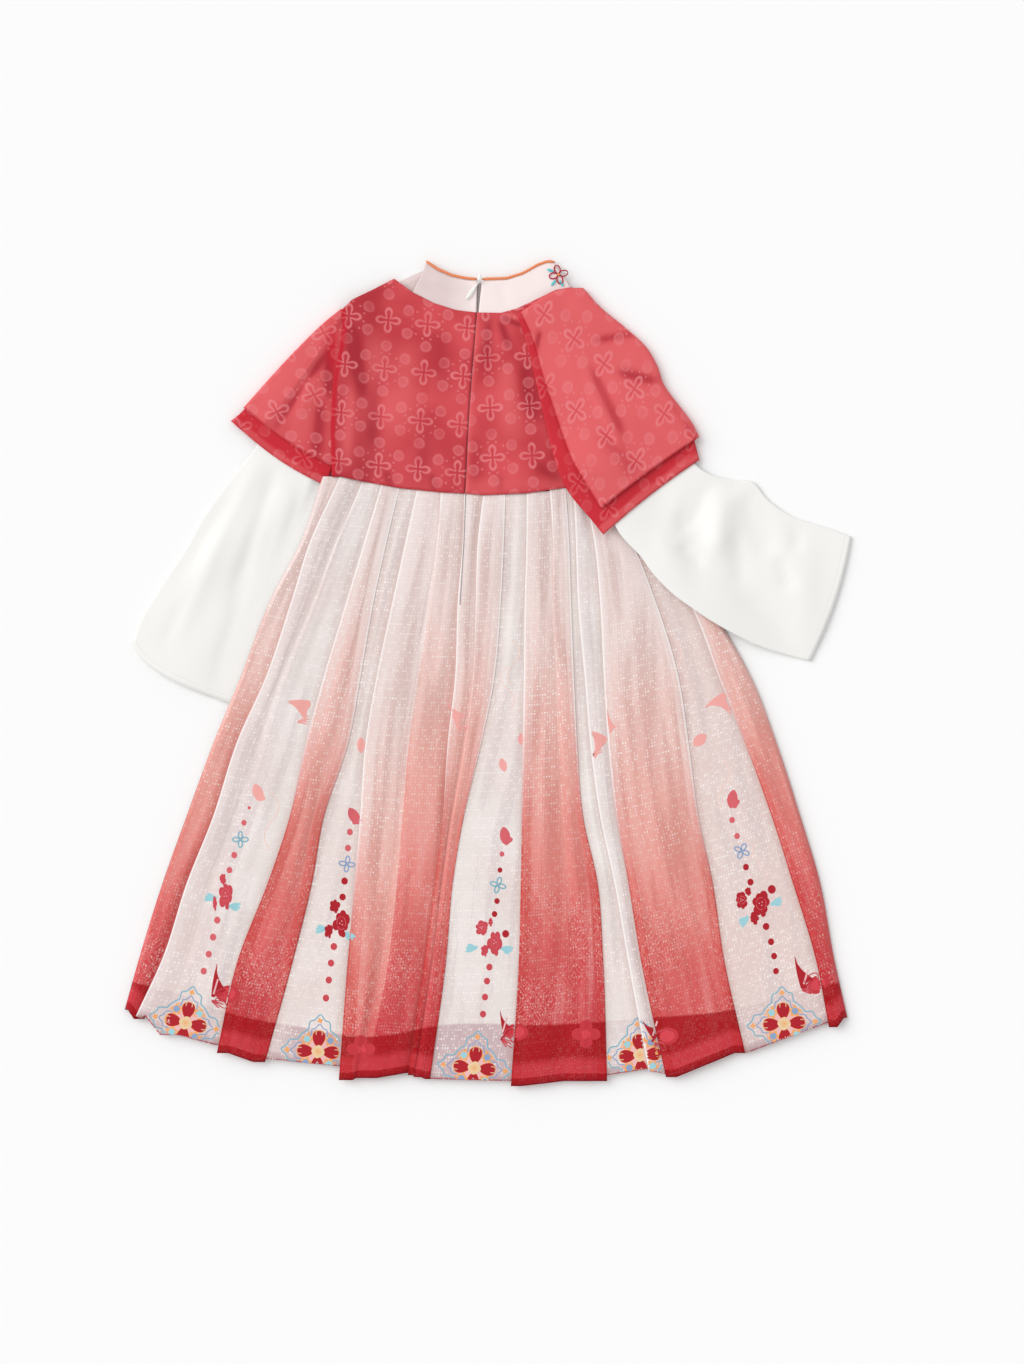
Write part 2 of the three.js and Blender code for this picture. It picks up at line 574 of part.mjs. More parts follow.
panel(
  "bodice_front",
  {
    top: [[343, 314], [396, 283], ...FRONT_NECK.slice(1, -1), [573, 290], [595, 312]],
    bottom: waistRun(341, 599),
    left: [[343, 314], [341, 380], [341, 477.4]],
    right: [[595, 312], [594, 400], [599, 480.8]],
  },
  19,
  7,
  () => FLOOR,
  ORGANZA,
);

// ---------------------------------------------------------------- collar
const COLLAR_Z = 4.7;
const NECK_LEFT = [[412, 290.6], [434, 301.6], [456, 308.6], [476.4, 311.2]];
const NECK_RIGHT = [[478.4, 311.2], [501, 311.6], [517, 307.2], [538, 297.2], [556, 288.4], [571, 285.4]];
const TOP_LEFT = [[426, 263], [438, 271], [452, 277], [466, 280], [477, 281]];
const TOP_RIGHT = [[482, 281], [507, 280], [523, 275], [538, 266.5], [548, 263], [555, 264]];
panel(
  "collar_back_left",
  { top: TOP_LEFT, bottom: NECK_LEFT, left: [[426, 263], [423, 272], [412, 290.6]], right: [[477, 281], [476.4, 311.2]] },
  8,
  5,
  () => COLLAR_Z,
  COLLAR,
);
panel(
  "collar_back_right",
  { top: TOP_RIGHT, bottom: NECK_RIGHT, left: [[482, 281], [478.4, 311.2]], right: [[555, 264], [564, 276], [571, 285.4]] },
  10,
  5,
  () => COLLAR_Z,
  COLLAR,
);
// Front half of the collar, on the table inside the neck
panel(
  "collar_front",
  {
    top: [[428, 268], [440, 296], [462, 314], [488, 318], [514, 312], [536, 292], [553, 268]],
    bottom: [[397.4, 282], ...shifted(FRONT_NECK.slice(1, -1), 0, -1.6), [571.6, 289]],
    left: [[428, 268], [397.4, 282]],
    right: [[553, 268], [571.6, 289]],
  },
  13,
  4,
  () => FLOOR,
  COLLAR,
);

// Piping rolled along the collar's upper edge
const PIPING_R = 1.5;
const piping = (name, edge) => {
  const n = 9;
  const rows = [];
  for (let i = 0; i < n; i++) {
    const [x, y] = along(edge, i / (n - 1));
    rows.push(
      Array.from({ length: 6 }, (_, j) => {
        const turn = (2 * Math.PI * (j + 0.5)) / 6;
        return [x, -(y - PIPING_R - 0.8) + PIPING_R * Math.cos(turn), COLLAR_Z + PIPING_R * Math.sin(turn)];
      }),
    );
  }
  const position = rows.flat(2);
  const faces = [];
  for (let i = 0; i < n - 1; i++)
    for (let j = 0; j < 6; j++) {
      const [a, b] = [i * 6 + j, i * 6 + ((j + 1) % 6)];
      faces.push(a, b, b + 6, a, b + 6, a + 6);
    }
  for (let j = 1; j < 5; j++) {
    faces.push(0, j + 1, j);
    faces.push((n - 1) * 6, (n - 1) * 6 + j, (n - 1) * 6 + j + 1);
  }
  body(name, position, faces, PIPING);
};
piping("collar_piping_left", TOP_LEFT);
piping("collar_piping_right", TOP_RIGHT);

// ---------------------------------------------------------------- zip
const ZIP = { tape: 15, wall: 0.8, end: 604 };
const ZIP_LINE = [[479.4, 283], [477.3, 312.4], [473, 365], [469, 419], [465.6, 493.6], [464, 540], [460, ZIP.end]];
panel(
  "zip_tape",
  {
    top: shifted([ZIP_LINE[0], ZIP_LINE[0]], 0).map(([x, y], i) => [x + (i - 0.5) * ZIP.tape, y]),
    bottom: [[460 - ZIP.tape / 2, ZIP.end], [460 + ZIP.tape / 2, ZIP.end]],
    left: shifted(ZIP_LINE, -ZIP.tape / 2),
    right: shifted(ZIP_LINE, ZIP.tape / 2),
  },
  3,
  12,
  (x, y) => lerp(3.0, ZIP_TAPE_Z, smooth(440, 494, y)),
  fabric("#b9aaa4", 0.8),
  ZIP.wall,
);

// Slider at the top of the zip and its drop-shaped pull, which lies on the left of the collar
const tablet = (name, outline, z0, z1, material) => {
  const shape = new THREE.Shape(outline.map(([x, y]) => new THREE.Vector2(x, -y)));
  const solid = new THREE.ExtrudeGeometry(shape, { depth: z1 - z0, bevelEnabled: false });
  solid.translate(0, 0, z0);
  const mesh = new THREE.Mesh(solid, material);
  mesh.name = name;
  dress.add(mesh);
};
const SLIDER = { x: 479.7, y: 279, wide: 5, long: 7, thick: 3 };
const slider = [[-0.5, 0], [-0.36, -0.5], [0.36, -0.5], [0.5, 0], [0.36, 0.5], [-0.36, 0.5]];
tablet(
  "zip_slider",
  slider.map(([u, v]) => [SLIDER.x + u * 4.2, SLIDER.y + v * SLIDER.long - 1.4]),
  COLLAR_Z + WALL / 2 + 1.4,
  COLLAR_Z + WALL / 2 + 1.4 + SLIDER.thick,
  PLASTIC,
);
const PULL = { from: [478, 283.6], to: [466, 299], head: 1.6, tail: 2.7, steps: 10 };
const pullLine = [PULL.to[0] - PULL.from[0], PULL.to[1] - PULL.from[1]];
const pullLong = Math.hypot(...pullLine);
const drop = [1, -1].flatMap((side) => {
  const run = Array.from({ length: PULL.steps }, (_, i) => {
    const t = (i + 0.5) / PULL.steps;
    const half = lerp(PULL.head, PULL.tail, Math.sin(t * 2.2)) * Math.sqrt(Math.sin(Math.PI * t));
    return [
      PULL.from[0] + pullLine[0] * t - (side * half * pullLine[1]) / pullLong,
      PULL.from[1] + pullLine[1] * t + (side * half * pullLine[0]) / pullLong,
    ];
  });
  return side > 0 ? run : run.reverse();
});
tablet("zip_pull", drop, COLLAR_Z + WALL / 2 + 0.3, COLLAR_Z + WALL / 2 + 2.1, PLASTIC);

// ---------------------------------------------------------------- frame
// Origin at the middle of the bounding box, on the table
const box = new THREE.Box3().setFromObject(dress);
const middle = box.getCenter(new THREE.Vector3());
dress.position.set(-middle.x, -middle.y, -box.min.z);
dress.updateMatrixWorld(true);

export default dress;
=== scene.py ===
import math

import bmesh
import bpy
import numpy as np
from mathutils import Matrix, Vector
from mathutils.bvhtree import BVHTree


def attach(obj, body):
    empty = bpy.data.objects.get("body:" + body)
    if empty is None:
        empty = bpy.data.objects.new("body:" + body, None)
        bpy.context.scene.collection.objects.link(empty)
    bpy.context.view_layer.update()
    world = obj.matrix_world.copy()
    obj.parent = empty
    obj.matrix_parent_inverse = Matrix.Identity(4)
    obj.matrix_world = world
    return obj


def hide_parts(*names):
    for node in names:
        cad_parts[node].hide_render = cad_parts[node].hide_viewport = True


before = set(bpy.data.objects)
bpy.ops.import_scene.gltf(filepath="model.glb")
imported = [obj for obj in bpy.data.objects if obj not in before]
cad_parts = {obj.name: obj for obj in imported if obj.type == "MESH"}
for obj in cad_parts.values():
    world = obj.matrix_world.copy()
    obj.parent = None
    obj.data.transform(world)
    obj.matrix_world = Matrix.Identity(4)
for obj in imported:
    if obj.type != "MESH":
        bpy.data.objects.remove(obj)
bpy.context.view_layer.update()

# ------------------------------------------------------------------ the back of the skirt
# Pleated lurex organza in white bands and bands that run from pale pink at the waist to red at
# the hem. It hangs from the waist seam in knife and box pleats, laid flat. Plan tables are on a
# cutting mat in mm, x to the right and y towards the hem; heights are above the table.
MAT_MIDDLE = (488.214, 672.723)
PLY = 1.4
FLOOR = 0.5
LOW = 6.2
# half the height of a fold, by the side whose band lies on top: the folds that face away from
# the light are flatter
STEP = dict(R=0.65, L=0.4)
# a point's distance to a fold, where there is none
FAR = 40.0
WAIST = np.array(
    [
        [318, 479], [340, 478], [359, 482], [399, 489], [441, 493],
        [464.6, 494], [484, 495.7], [527, 493.7], [566, 488], [606, 480],
    ]
)
ROW_Y = [490, 540, 600, 680, 740, 820, 880, 960]
SIDE_LEFT = dict(x=[318, 301, 270, 239, 214, 184.5, 163, 138, 124], hem=1010)
SIDE_RIGHT = dict(x=[606, 654, 705, 753, 776, 802, 820, 835, 848], hem=1018)
# over: the side whose band lies on top; x: the fold on each row and at the hem; hem: of the bands
# left and right of it; tuck: how deep it turns under at waist and hem; then the band to its
# right: rise, how far it rounds up, red, 1 for a red band and 0 for a white one, and lead, how
# far up a red band's ombre is moved or how much pink (of 100) tints a white one.
FOLD_COLUMNS = ("over", "x", "hem", "tuck", "rise", "red", "lead")
FOLD_ROWS = [
    ("R", [334, 311, 292, 265, 238, 212, 188, 162, 136], [1019, 1016], [7, 8], 0.5, 0, 45),
    ("R", [359, 338, 317, 286, 268, 244, 224, 200, 176], [1035, 1035], [8, -14], 0.9, 0, 10),
    ("R", [380, 365, 347, 323, 307, 289, 269, 238, 217], [1045, 1053], [8, 10], 1.3, 1, 15),
    ("L", [399, 387, 374, 360, 349, 323, 312.5, 293, 265], [1062, 1059], [6, 10], 0.6, 0, 45),
    ("R", [417, 406, 393, 376, 366, 360, 355, 348, 339], [1066, 1080], [8, 12], 0.8, 1, -105),
    ("R", [441, 438, 432, 422, 414, 408, 404, 396, 374], [1078, 1078], [8, -16], 0.9, 1, 5),
    ("R", [464.5, 463, 458, 455, 448, 442.5, 435.5, 424.5, 408], [1073, 1075], [8, 6], 0.4, 1, 0),
    ("R", [484, 478, 476, 473, 466, 453, 445, 436, 419], [1077, 1077], [8, -3], 0.5, 1, 10),
    ("L", [505.5, 504, 501, 494, 482, 463, 453, 446, 430], [1079, 1079], [6, 10], 0.9, 0, 15),
    ("R", [527, 526.6, 525, 524, 523, 522, 521, 519, 511], [1081, 1086], [8, 9], 0.7, 1, 0),
    ("R", [550, 553, 554, 560, 563, 568, 574, 578, 576], [1081, 1081], [8, -10], 0.4, 1, 15),
    ("L", [566, 569, 571, 574, 577, 583.5, 597, 603, 607], [1081, 1075], [4, 9], 0.3, 0, 0),
    ("R", [574, 576, 578, 585, 590, 601, 614, 628, 649], [1069, 1072], [4, 7], 0.3, 0, 0),
    ("R", [584, 594, 600, 604, 608, 617, 628, 641, 666], [1074, 1077], [3, 9], 1.4, 1, -45),
    ("L", [594, 630, 655, 679, 688, 699, 712, 724, 745], [1053, 1053], [3, 9], 1.0, 0, 100),
    ("R", [600, 647, 688, 720, 744, 773, 792, 816, 829], [1023, 1027], [2.5, 7], 0.8, 1, 60),
]
FOLDS = [dict(zip(FOLD_COLUMNS, row)) for row in FOLD_ROWS]
CENTRE_FOLD = 6
SLEEVE_SEAM = dict(y=[466, 505, 560, 625, 708], x=[340, 322, 305, 285, 262])


def smooth(a, b, v):
    t = np.clip((v - a) / (b - a), 0, 1)
    return t * t * (3 - 2 * t)


def curve(keys, values, v):
    """Smooth value of a table column at v, carried on straight past its ends."""
    keys, values, v = np.asarray(keys, float), np.asarray(values, float), np.asarray(v, float)
    slope = np.gradient(values, keys)
    i = np.clip(np.searchsorted(keys, v) - 1, 0, len(keys) - 2)
    h = keys[i + 1] - keys[i]
    t = (v - keys[i]) / h
    c = np.clip(t, 0, 1)
    inside = (
        (2 * c**3 - 3 * c**2 + 1) * values[i]
        + (c**3 - 2 * c**2 + c) * h * slope[i]
        + (3 * c**2 - 2 * c**3) * values[i + 1]
        + (c**3 - c**2) * h * slope[i + 1]
    )
    return inside + np.where(t > 1, (t - 1) * h * slope[-1], 0) + np.where(t < 0, t * h * slope[0], 0)


def row_frame(x, y, z):
    """Mat millimetres to the row frame in metres."""
    metres = ((x - MAT_MIDDLE[0]) / 1000, (MAT_MIDDLE[1] - y) / 1000, z / 1000)
    return np.stack(np.broadcast_arrays(*metres), -1)


def waist_y(x):
    """The waist seam's place on the mat."""
    return np.interp(x, WAIST[:, 0], WAIST[:, 1])


def over_left_sleeve(x, y):
    """Height of the left sleeve's hidden edge, which the skirt's left side lies on."""
    past = x - curve(SLEEVE_SEAM["y"], SLEEVE_SEAM["x"], y)
    return 2.9 * (1 - smooth(6, 38, past)) * (1 - smooth(722, 770, y))


def cloth(name, points, material, thick=0.3, ring=False, values=None, uv=None):
    """A thin closed shell on a grid of points in mat mm, rows by columns, smooth shaded.
    values are named numbers for each point, uv the cloth's own millimetres."""
    grid = row_frame(points[..., 0], points[..., 1], points[..., 2])
    rows, cols = grid.shape[:2]
    if ring:
        across = np.roll(grid, -1, 1) - np.roll(grid, 1, 1)
    else:
        across = np.gradient(grid, axis=1)
    down = np.gradient(grid, axis=0)
    normal = np.cross(across, down)
    normal /= np.maximum(np.linalg.norm(normal, axis=2, keepdims=True), 1e-12)
    if not ring and normal[..., 2].mean() < 0:
        normal = -normal
    half = thick / 2000
    verts = np.concatenate([(grid + normal * half).reshape(-1, 3), (grid - normal * half).reshape(-1, 3)])
    n = rows * cols
    span = cols if ring else cols - 1
    i, j = np.meshgrid(np.arange(rows - 1), np.arange(span), indexing="ij")
    a = (i * cols + j).ravel()
    b = (i * cols + (j + 1) % cols).ravel()
    c = ((i + 1) * cols + (j + 1) % cols).ravel()
    d = ((i + 1) * cols + j).ravel()
    faces = [np.stack([a, d, c, b], 1), np.stack([a, b, c, d], 1) + n]
    j = np.arange(span)
    first, last = j, (rows - 1) * cols + j
    nxt = (j + 1) % cols
    faces.append(np.stack([first, nxt, nxt + n, first + n], 1))
    faces.append(np.stack([last + n, (rows - 1) * cols + nxt + n, (rows - 1) * cols + nxt, last], 1))
    if not ring:
        i = np.arange(rows - 1)
        faces.append(np.stack([i * cols + n, (i + 1) * cols + n, (i + 1) * cols, i * cols], 1))
        i = (i + 1) * cols - 1
        faces.append(np.stack([i, i + cols, i + cols + n, i + n], 1))
    faces = np.concatenate(faces)
    mesh = bpy.data.meshes.new(name)
    mesh.from_pydata(verts.tolist(), [], faces.tolist())
    for key, value in (values or {}).items():
        layer = mesh.attributes.new(key, "FLOAT", "POINT")
        flat = np.broadcast_to(value, (rows, cols)).ravel()
        layer.data.foreach_set("value", np.concatenate([flat, flat]).astype(np.float32))
    if uv is not None:
        flat = np.concatenate([uv.reshape(-1, 2), uv.reshape(-1, 2)])
        loops = np.empty(len(mesh.loops), np.int32)
        mesh.loops.foreach_get("vertex_index", loops)
        mesh.uv_layers.new(name="cloth").data.foreach_set("uv", flat[loops].astype(np.float32).ravel())
    mesh.validate()
    mesh.update()
    mesh.shade_smooth()
    made = bpy.data.objects.new(name, mesh)
    bpy.context.scene.collection.objects.link(made)
    mesh.materials.append(material)
    # faces out, whichever way the grid ran
    bm = bmesh.new()
    bm.from_mesh(mesh)
    if bm.calc_volume(signed=True) < 0:
        bmesh.ops.reverse_faces(bm, faces=bm.faces)
    bm.to_mesh(mesh)
    bm.free()
    return made


def colour(text):
    """Linear colour of an sRGB hex colour."""
    channels = [int(text[i : i + 2], 16) / 255 for i in (1, 3, 5)]
    return [p / 12.92 if p <= 0.04045 else ((p + 0.055) / 1.055) ** 2.4 for p in channels] + [1.0]


def material(name, rough, sheen=0.0, base=None, specular=0.3):
    """A material of one Principled shader, with its tree and shader."""
    made = bpy.data.materials.new(name)
    made.use_nodes = True
    shader = made.node_tree.nodes["Principled BSDF"]
    shader.inputs["Roughness"].default_value = rough
    shader.inputs["Sheen Weight"].default_value = sheen
    shader.inputs["Sheen Roughness"].default_value = 0.4
    shader.inputs["Specular IOR Level"].default_value = specular
    if base:
        shader.inputs["Base Color"].default_value = colour(base)
    return made, made.node_tree, shader


skirt_cloth, tree, shader = material("Lurex organza", 0.6, 0.05, specular=0.12)


class Value:
    """A shader socket that sums are written with, each a Math node in the tree at hand."""

    def __init__(self, socket):
        self.socket = socket

    def __add__(self, other):
        return do("ADD", self, other)

    def __sub__(self, other):
        return do("SUBTRACT", self, other)

    def __rsub__(self, other):
        return do("SUBTRACT", other, self)

    def __mul__(self, other):
        return do("MULTIPLY", self, other)

    def __truediv__(self, other):
        return do("DIVIDE", self, other)


def feed(socket, given):
    """Gives a socket a value, a number or a hex colour."""
    if isinstance(given, Value):
        tree.links.new(given.socket, socket)
    elif given is not None:
        socket.default_value = colour(given) if isinstance(given, str) else given


def add(kind, *inputs, **settings):
    """A shader node with its settings, and its inputs in order."""
    made = tree.nodes.new("ShaderNode" + kind)
    for key, setting in settings.items():
        setattr(made, key, setting)
    for socket, given in zip(made.inputs, inputs):
        feed(socket, given)
    return made


def read(kind, *inputs, out=0, **settings):
    return Value(add(kind, *inputs, **settings).outputs[out])


def do(operation, *inputs):
    return read("Math", *inputs, operation=operation)


def ramp(value, low, high, to_low=0.0, to_high=1.0):
    return read("MapRange", value, low, high, to_low, to_high, interpolation_type="SMOOTHSTEP")


def mixed(share, a, b, how="MIX"):
    made = add("Mix", data_type="RGBA", blend_type=how)
    for i, given in ((0, share), (6, a), (7, b)):
        feed(made.inputs[i], given)
    return Value(made.outputs[2])


# Skirt cloth: the ombre runs down the red bands, both darken below the lining's hem, and short
# lurex floats lie in rows all over
LINING_HEM = dict(
    x=[124, 150, 232, 310, 365, 450, 555, 651, 731, 826, 848],
    y=[974, 985, 1013, 1028, 1036, 1024, 1024, 1017, 1009, 984, 976],
)
OMBRE = [
    (480, "#F1E4E2"),
    (600, "#F1DEDA"),
    (680, "#F1CEC7"),
    (740, "#F0BCB3"),
    (800, "#EDA69C"),
    (860, "#E98D86"),
    (920, "#E1706D"),
    (980, "#DA585B"),
    (1040, "#D0434B"),
    (1090, "#C63641"),
]
place = read("TexCoord", out="Object")
mat = [Value(way) for way in add("SeparateXYZ", place).outputs]
mat_x = do("MULTIPLY_ADD", mat[0], 1000.0, MAT_MIDDLE[0])
mat_y = do("MULTIPLY_ADD", mat[1], -1000.0, MAT_MIDDLE[1])
red, lead, crest, under, tucked, to_hem = [
    read("Attribute", out="Fac", attribute_name=name)
    for name in ("red", "lead", "crest", "under", "tucked", "to_hem")
]
u, v, _ = [Value(way) for way in add("SeparateXYZ", read("UVMap", uv_map="cloth")).outputs]
cloud, patch = [read("TexNoise", place, None, scale, 2.0) for scale in (9.0, 22.0)]
wander = do("MULTIPLY_ADD", cloud, 90.0, -45.0)
first, last = float(OMBRE[0][0]), float(OMBRE[-1][0])
ombre = add("ValToRGB", ramp(mat_y + lead + wander, first, last))
stops = ombre.color_ramp.elements
while len(stops) < len(OMBRE):
    stops.new(0.5)
for stop, (y, shade) in zip(stops, OMBRE):
    t = (y - first) / (last - first)
    stop.position = t * t * (3 - 2 * t)
for stop, (y, shade) in zip(stops, OMBRE):
    stop.color = colour(shade)
white = mixed(ramp(patch, 0.35, 0.7), "#EFEBE8", "#F6F3F1")
white = mixed(ramp(cloud, 0.42, 0.7) * 0.5, white, "#F0DEDC")
white = mixed(lead * 0.0055, white, "#E4C7C2")
# painted shade and painted highlight: soft streaks down the bands, greyer on the white ones, darker and lighter
# on the red ones, and a greyer mauve painted shade on a white band towards its fold
painted_streak = read("TexNoise", read("CombineXYZ", u / 13.0, v / 150.0, 0.0), None, 1.0, 2.0)
white = mixed(ramp(painted_streak, 0.52, 0.36) * 0.5, white, "#DCD0D0")
white = mixed(ramp(crest, 26.0, 3.0) * 0.28, white, "#DCC9CA")
streak_shading = mixed(ramp(painted_streak, 0.34, 0.6), "#E2D2CF", "#FFFFFF")
ground = mixed(0.6, Value(ombre.outputs[0]), streak_shading, "MULTIPLY")
ground = mixed(ramp(painted_streak, 0.52, 0.72) * 0.14, ground, "#FBD9D3")
base = mixed(red, white, ground)
# the lining ends above the hem; from there the organza is bare over the front of the skirt
HEM_SCALE = 2000.0
hem_line = add("FloatCurve", 1.0, mat_x / 1000.0)
line = hem_line.mapping.curves[0].points
for x, y in zip(LINING_HEM["x"][1:-1], LINING_HEM["y"][1:-1]):
    line.new(x / 1000, y / HEM_SCALE)
line[0].location = (0.0, LINING_HEM["y"][0] / HEM_SCALE)
line[-1].location = (1.0, LINING_HEM["y"][-1] / HEM_SCALE)
hem_line.mapping.update()
unlined = ramp(mat_y - Value(hem_line.outputs[0]) * HEM_SCALE, -1.0, 2.0)
bare = mixed(red, "#CDB4B8", mixed(ramp(to_hem, 18.0, 27.0), "#CC3843", "#AC0B18"))
dim = ramp(mat_x, 268.0, 300.0) * ramp(mat_x, 566.0, 540.0)
bare_share = do("MAXIMUM", red, do("MULTIPLY_ADD", dim, 0.62, 0.34))
base = mixed(unlined * 0.92 * bare_share, base, bare)
turned_up = ramp(to_hem, 8.2, 7.2)
base = mixed(turned_up * 0.9, base, mixed(red, "#D9C0C3", "#AE0D1B"))
base = mixed(ramp(to_hem, 1.8, 0.9), base, mixed(red, "#C9707A", "#96081A"))
plain = 1.0 - do("MAXIMUM", unlined, turned_up) * (red * 0.85)
# a second layer lies behind each fold for the depth of its tuck; the fold itself is marked by a
# bright line where the cloth is pale, the doubled cloth with a painted highlight, and by a deep
# line where it is red; the cloth that goes under a fold carries a painted shade
on_red = red * ramp(mat_y + lead, 690.0, 860.0)
paler = mixed(0.5, base, "#F8F4F2")
layered = mixed(on_red, paler, mixed(1.0, base, "#F2A6A2", "MULTIPLY"))
base = mixed(tucked * 0.5, base, layered)
shaded = mixed(1.0, base, mixed(on_red, "#E9DDD9", "#CC8A82"), "MULTIPLY")
base = mixed(ramp(under, 9.0, 0.0) * 0.6, base, shaded)
edge = mixed(on_red, "#FFFFFF", mixed(1.0, base, "#E79A98", "MULTIPLY"))
base = mixed(ramp(crest, 2.3, 0.5) * 0.75, base, edge)
# Upright floats of lurex in cells of 2.6 by 3.05 mm: pairs of strong ones in every third row,
# weaker ones between them, and all of them stronger in some places. Weft rows cross each band
# squarely, so they lean with it.
BAND_PITCH = 200.0
band_number = do("FLOOR", u / BAND_PITCH)
from_fold = do("MULTIPLY_ADD", band_number, -BAND_PITCH, u)
lean = (mat_x - 465.0) * 0.0011
weft = do("MULTIPLY_ADD", lean, from_fold, do("MULTIPLY_ADD", band_number, 3.7, v))
across, upright = u / 2.6, weft / 3.05
column_number, row_number = do("FLOOR", across), do("FLOOR", upright)
cell = read("CombineXYZ", column_number, row_number, 0.0)
chance = read("TexWhiteNoise", cell, noise_dimensions="3D")
third = (row_number + 0.1) / 3.0
strong_row = do("LESS_THAN", do("FRACT", third), 0.3)
aside = do("FRACT", (do("FLOOR", third) + 0.1) / 2.0)
in_four = do("FRACT", column_number / 4.0 + (aside + 0.02))
pair = strong_row * do("LESS_THAN", in_four, 0.5)
weaker = ramp(chance, 0.4, 1.0, 0.0, 0.7)
bright = do("MAXIMUM", pair * ramp(chance, 0.05, 0.5, 0.35, 1.0), weaker)
off_u, off_v = [do("ABSOLUTE", do("FRACT", way) - 0.5) for way in (across, upright)]
half_u, half_v = do("MULTIPLY_ADD", red, -0.05, 0.35), do("MULTIPLY_ADD", red, -0.04, 0.40)
shine = ramp(off_u, half_u, half_u - 0.12) * ramp(off_v, half_v, half_v - 0.12)
lurex = shine * bright * ramp(patch, 0.36, 0.62, 0.5, 1.0)
strength = lurex * do("MULTIPLY_ADD", on_red, -0.6, 1.0)
base = mixed(strength * plain, base, "#FFFBF7")
# the plain weave between the floats
thread = do("ABSOLUTE", do("SINE", u * 2.3)) * do("ABSOLUTE", do("SINE", v * 2.3))
woven = mixed(1.0, base, "#EDDFDC", "MULTIPLY")
base = mixed(do("MULTIPLY_ADD", thread, -0.6, 0.6), base, woven)


# on the red bands a faint lattice of ogees with a rosette in each is printed in pale line
def wave(way, pitch):
    return do("COSINE", way * (2 * math.pi / pitch))


petals = wave(u, 9) * wave(v, 12.5)
inner = do("MULTIPLY_ADD", petals, 0.55, do("ABSOLUTE", wave(u, 36) + wave(v, 50)))
lattice = 0.0
for level in (0.26, 0.8, 1.25, 1.7):
    lattice = do("MAXIMUM", lattice, ramp(do("ABSOLUTE", inner - level), 0.11, 0.02))
lattice = lattice * plain * ramp(mat_y, 780.0, 920.0) * ramp(patch, 0.36, 0.6, 0.25, 1.0)
base = mixed(lattice * red * 0.36, base, "#FAC0B6")
feed(shader.inputs["Base Color"], base)
feed(shader.inputs["Roughness"], do("MULTIPLY_ADD", lurex, -0.25, 0.6))
feed(shader.inputs["Normal"], read("Bump", 0.3, 0.4 / 1000, None, lurex + thread * 0.4))

down_rows = np.linspace(0, 1, 66)


def track(xs, hem):
    """x, y and share of the length for a column given on each row and at its own hem."""
    top = waist_y(xs[0]) - 2.4
    y = top + (hem - top) * down_rows
    keys = [*ROW_Y, hem]
    return curve(keys, xs, y), y, np.interp(y, keys, [0, 1, 2, 3, 4, 5, 6, 7, 9]) / 9


def tuck_of(i):
    """Depth of a fold on each row, held within the band that it turns under."""
    fold = FOLDS[i]
    x, y, share = track(fold["x"], fold["hem"][0])
    depth = fold["tuck"][0] + (fold["tuck"][1] - fold["tuck"][0]) * np.sqrt(share)
    if fold["over"] == "R":
        other = FOLDS[i + 1] if i + 1 < len(FOLDS) else SIDE_RIGHT
    else:
        other = FOLDS[i - 1] if i else SIDE_LEFT
    band = np.abs(curve([*ROW_Y, fold["hem"][0]], other["x"], y) - x)
    return np.minimum(depth, 0.4 * band - 0.8)


def lowered(x, y, z):
    """Height of the skirt, flattened where it goes up under the bodice."""
    free = smooth(0, 18, y - waist_y(x))
    return LOW + (z - LOW) * (0.22 + 0.78 * free)


panels = [[]]


def put(x, y, z, look, crest, under, tucked, hem, u):
    """Adds a column of points to the panel at hand. look holds red and lead; crest and under are
    the millimetres to the fold that the cloth makes and to the one that it goes under."""
    z = lowered(x, y, z) + over_left_sleeve(x, y)
    numbers = dict(red=look[0], lead=look[1], crest=crest, under=under, tucked=tucked, to_hem=hem - y)
    panels[-1].append((x, y, z, u + 0 * y, {key: value + 0 * y for key, value in numbers.items()}))


def column(xs, hem, shift, z, look, crest=FAR, under=FAR, tucked=0.0, u=0.0):
    """A column that runs beside a fold or a side edge."""
    x, y, _ = track(xs, hem)
    put(x + shift, y, z, look, crest, under, tucked, hem, u)


def band(a, b, rise, look, number):
    """The columns of a band between the folds at its two sides."""
    xa, ya, share = track(a["xs"], a["hem"])
    xb = track(b["xs"], b["hem"])[0]
    wide = xb + b["shift"] - xa - a["shift"]
    for k in range(13):
        s = k / 12
        x = (xa + a["shift"]) * (1 - s) + (xb + b["shift"]) * s
        hem = a["hem"] + (b["hem"] - a["hem"]) * s
        y = ya + (hem - a["hem"]) * down_rows
        swell = rise * (0.25 + 0.75 * share) * np.clip(wide / 14, 0, 1)
        lie = a["z"] + (b["z"] - a["z"]) * (0.6 * s + 0.4 * smooth(0, 1, s))
        lie = lie + swell * math.sin(math.pi * s)
        soft = np.sin(7 * s + number * 2.3 + y / 41) + 0.7 * np.sin(13 * s - number * 1.7 + y / 63)
        crease = 0.34 * soft * math.sin(math.pi * s) * np.clip(wide / 26, 0.2, 1)
        from_a, from_b = x - xa + a.get("open", 0), xb - x + b.get("open", 0)
        crest = np.minimum(from_a if a["on_top"] else FAR, from_b if b["on_top"] else FAR)
        under = np.minimum(FAR if a["on_top"] else from_a, FAR if b["on_top"] else from_b)
        put(x, y, lie + crease, look, crest, under, 0.0, hem, x - xa + BAND_PITCH * number)


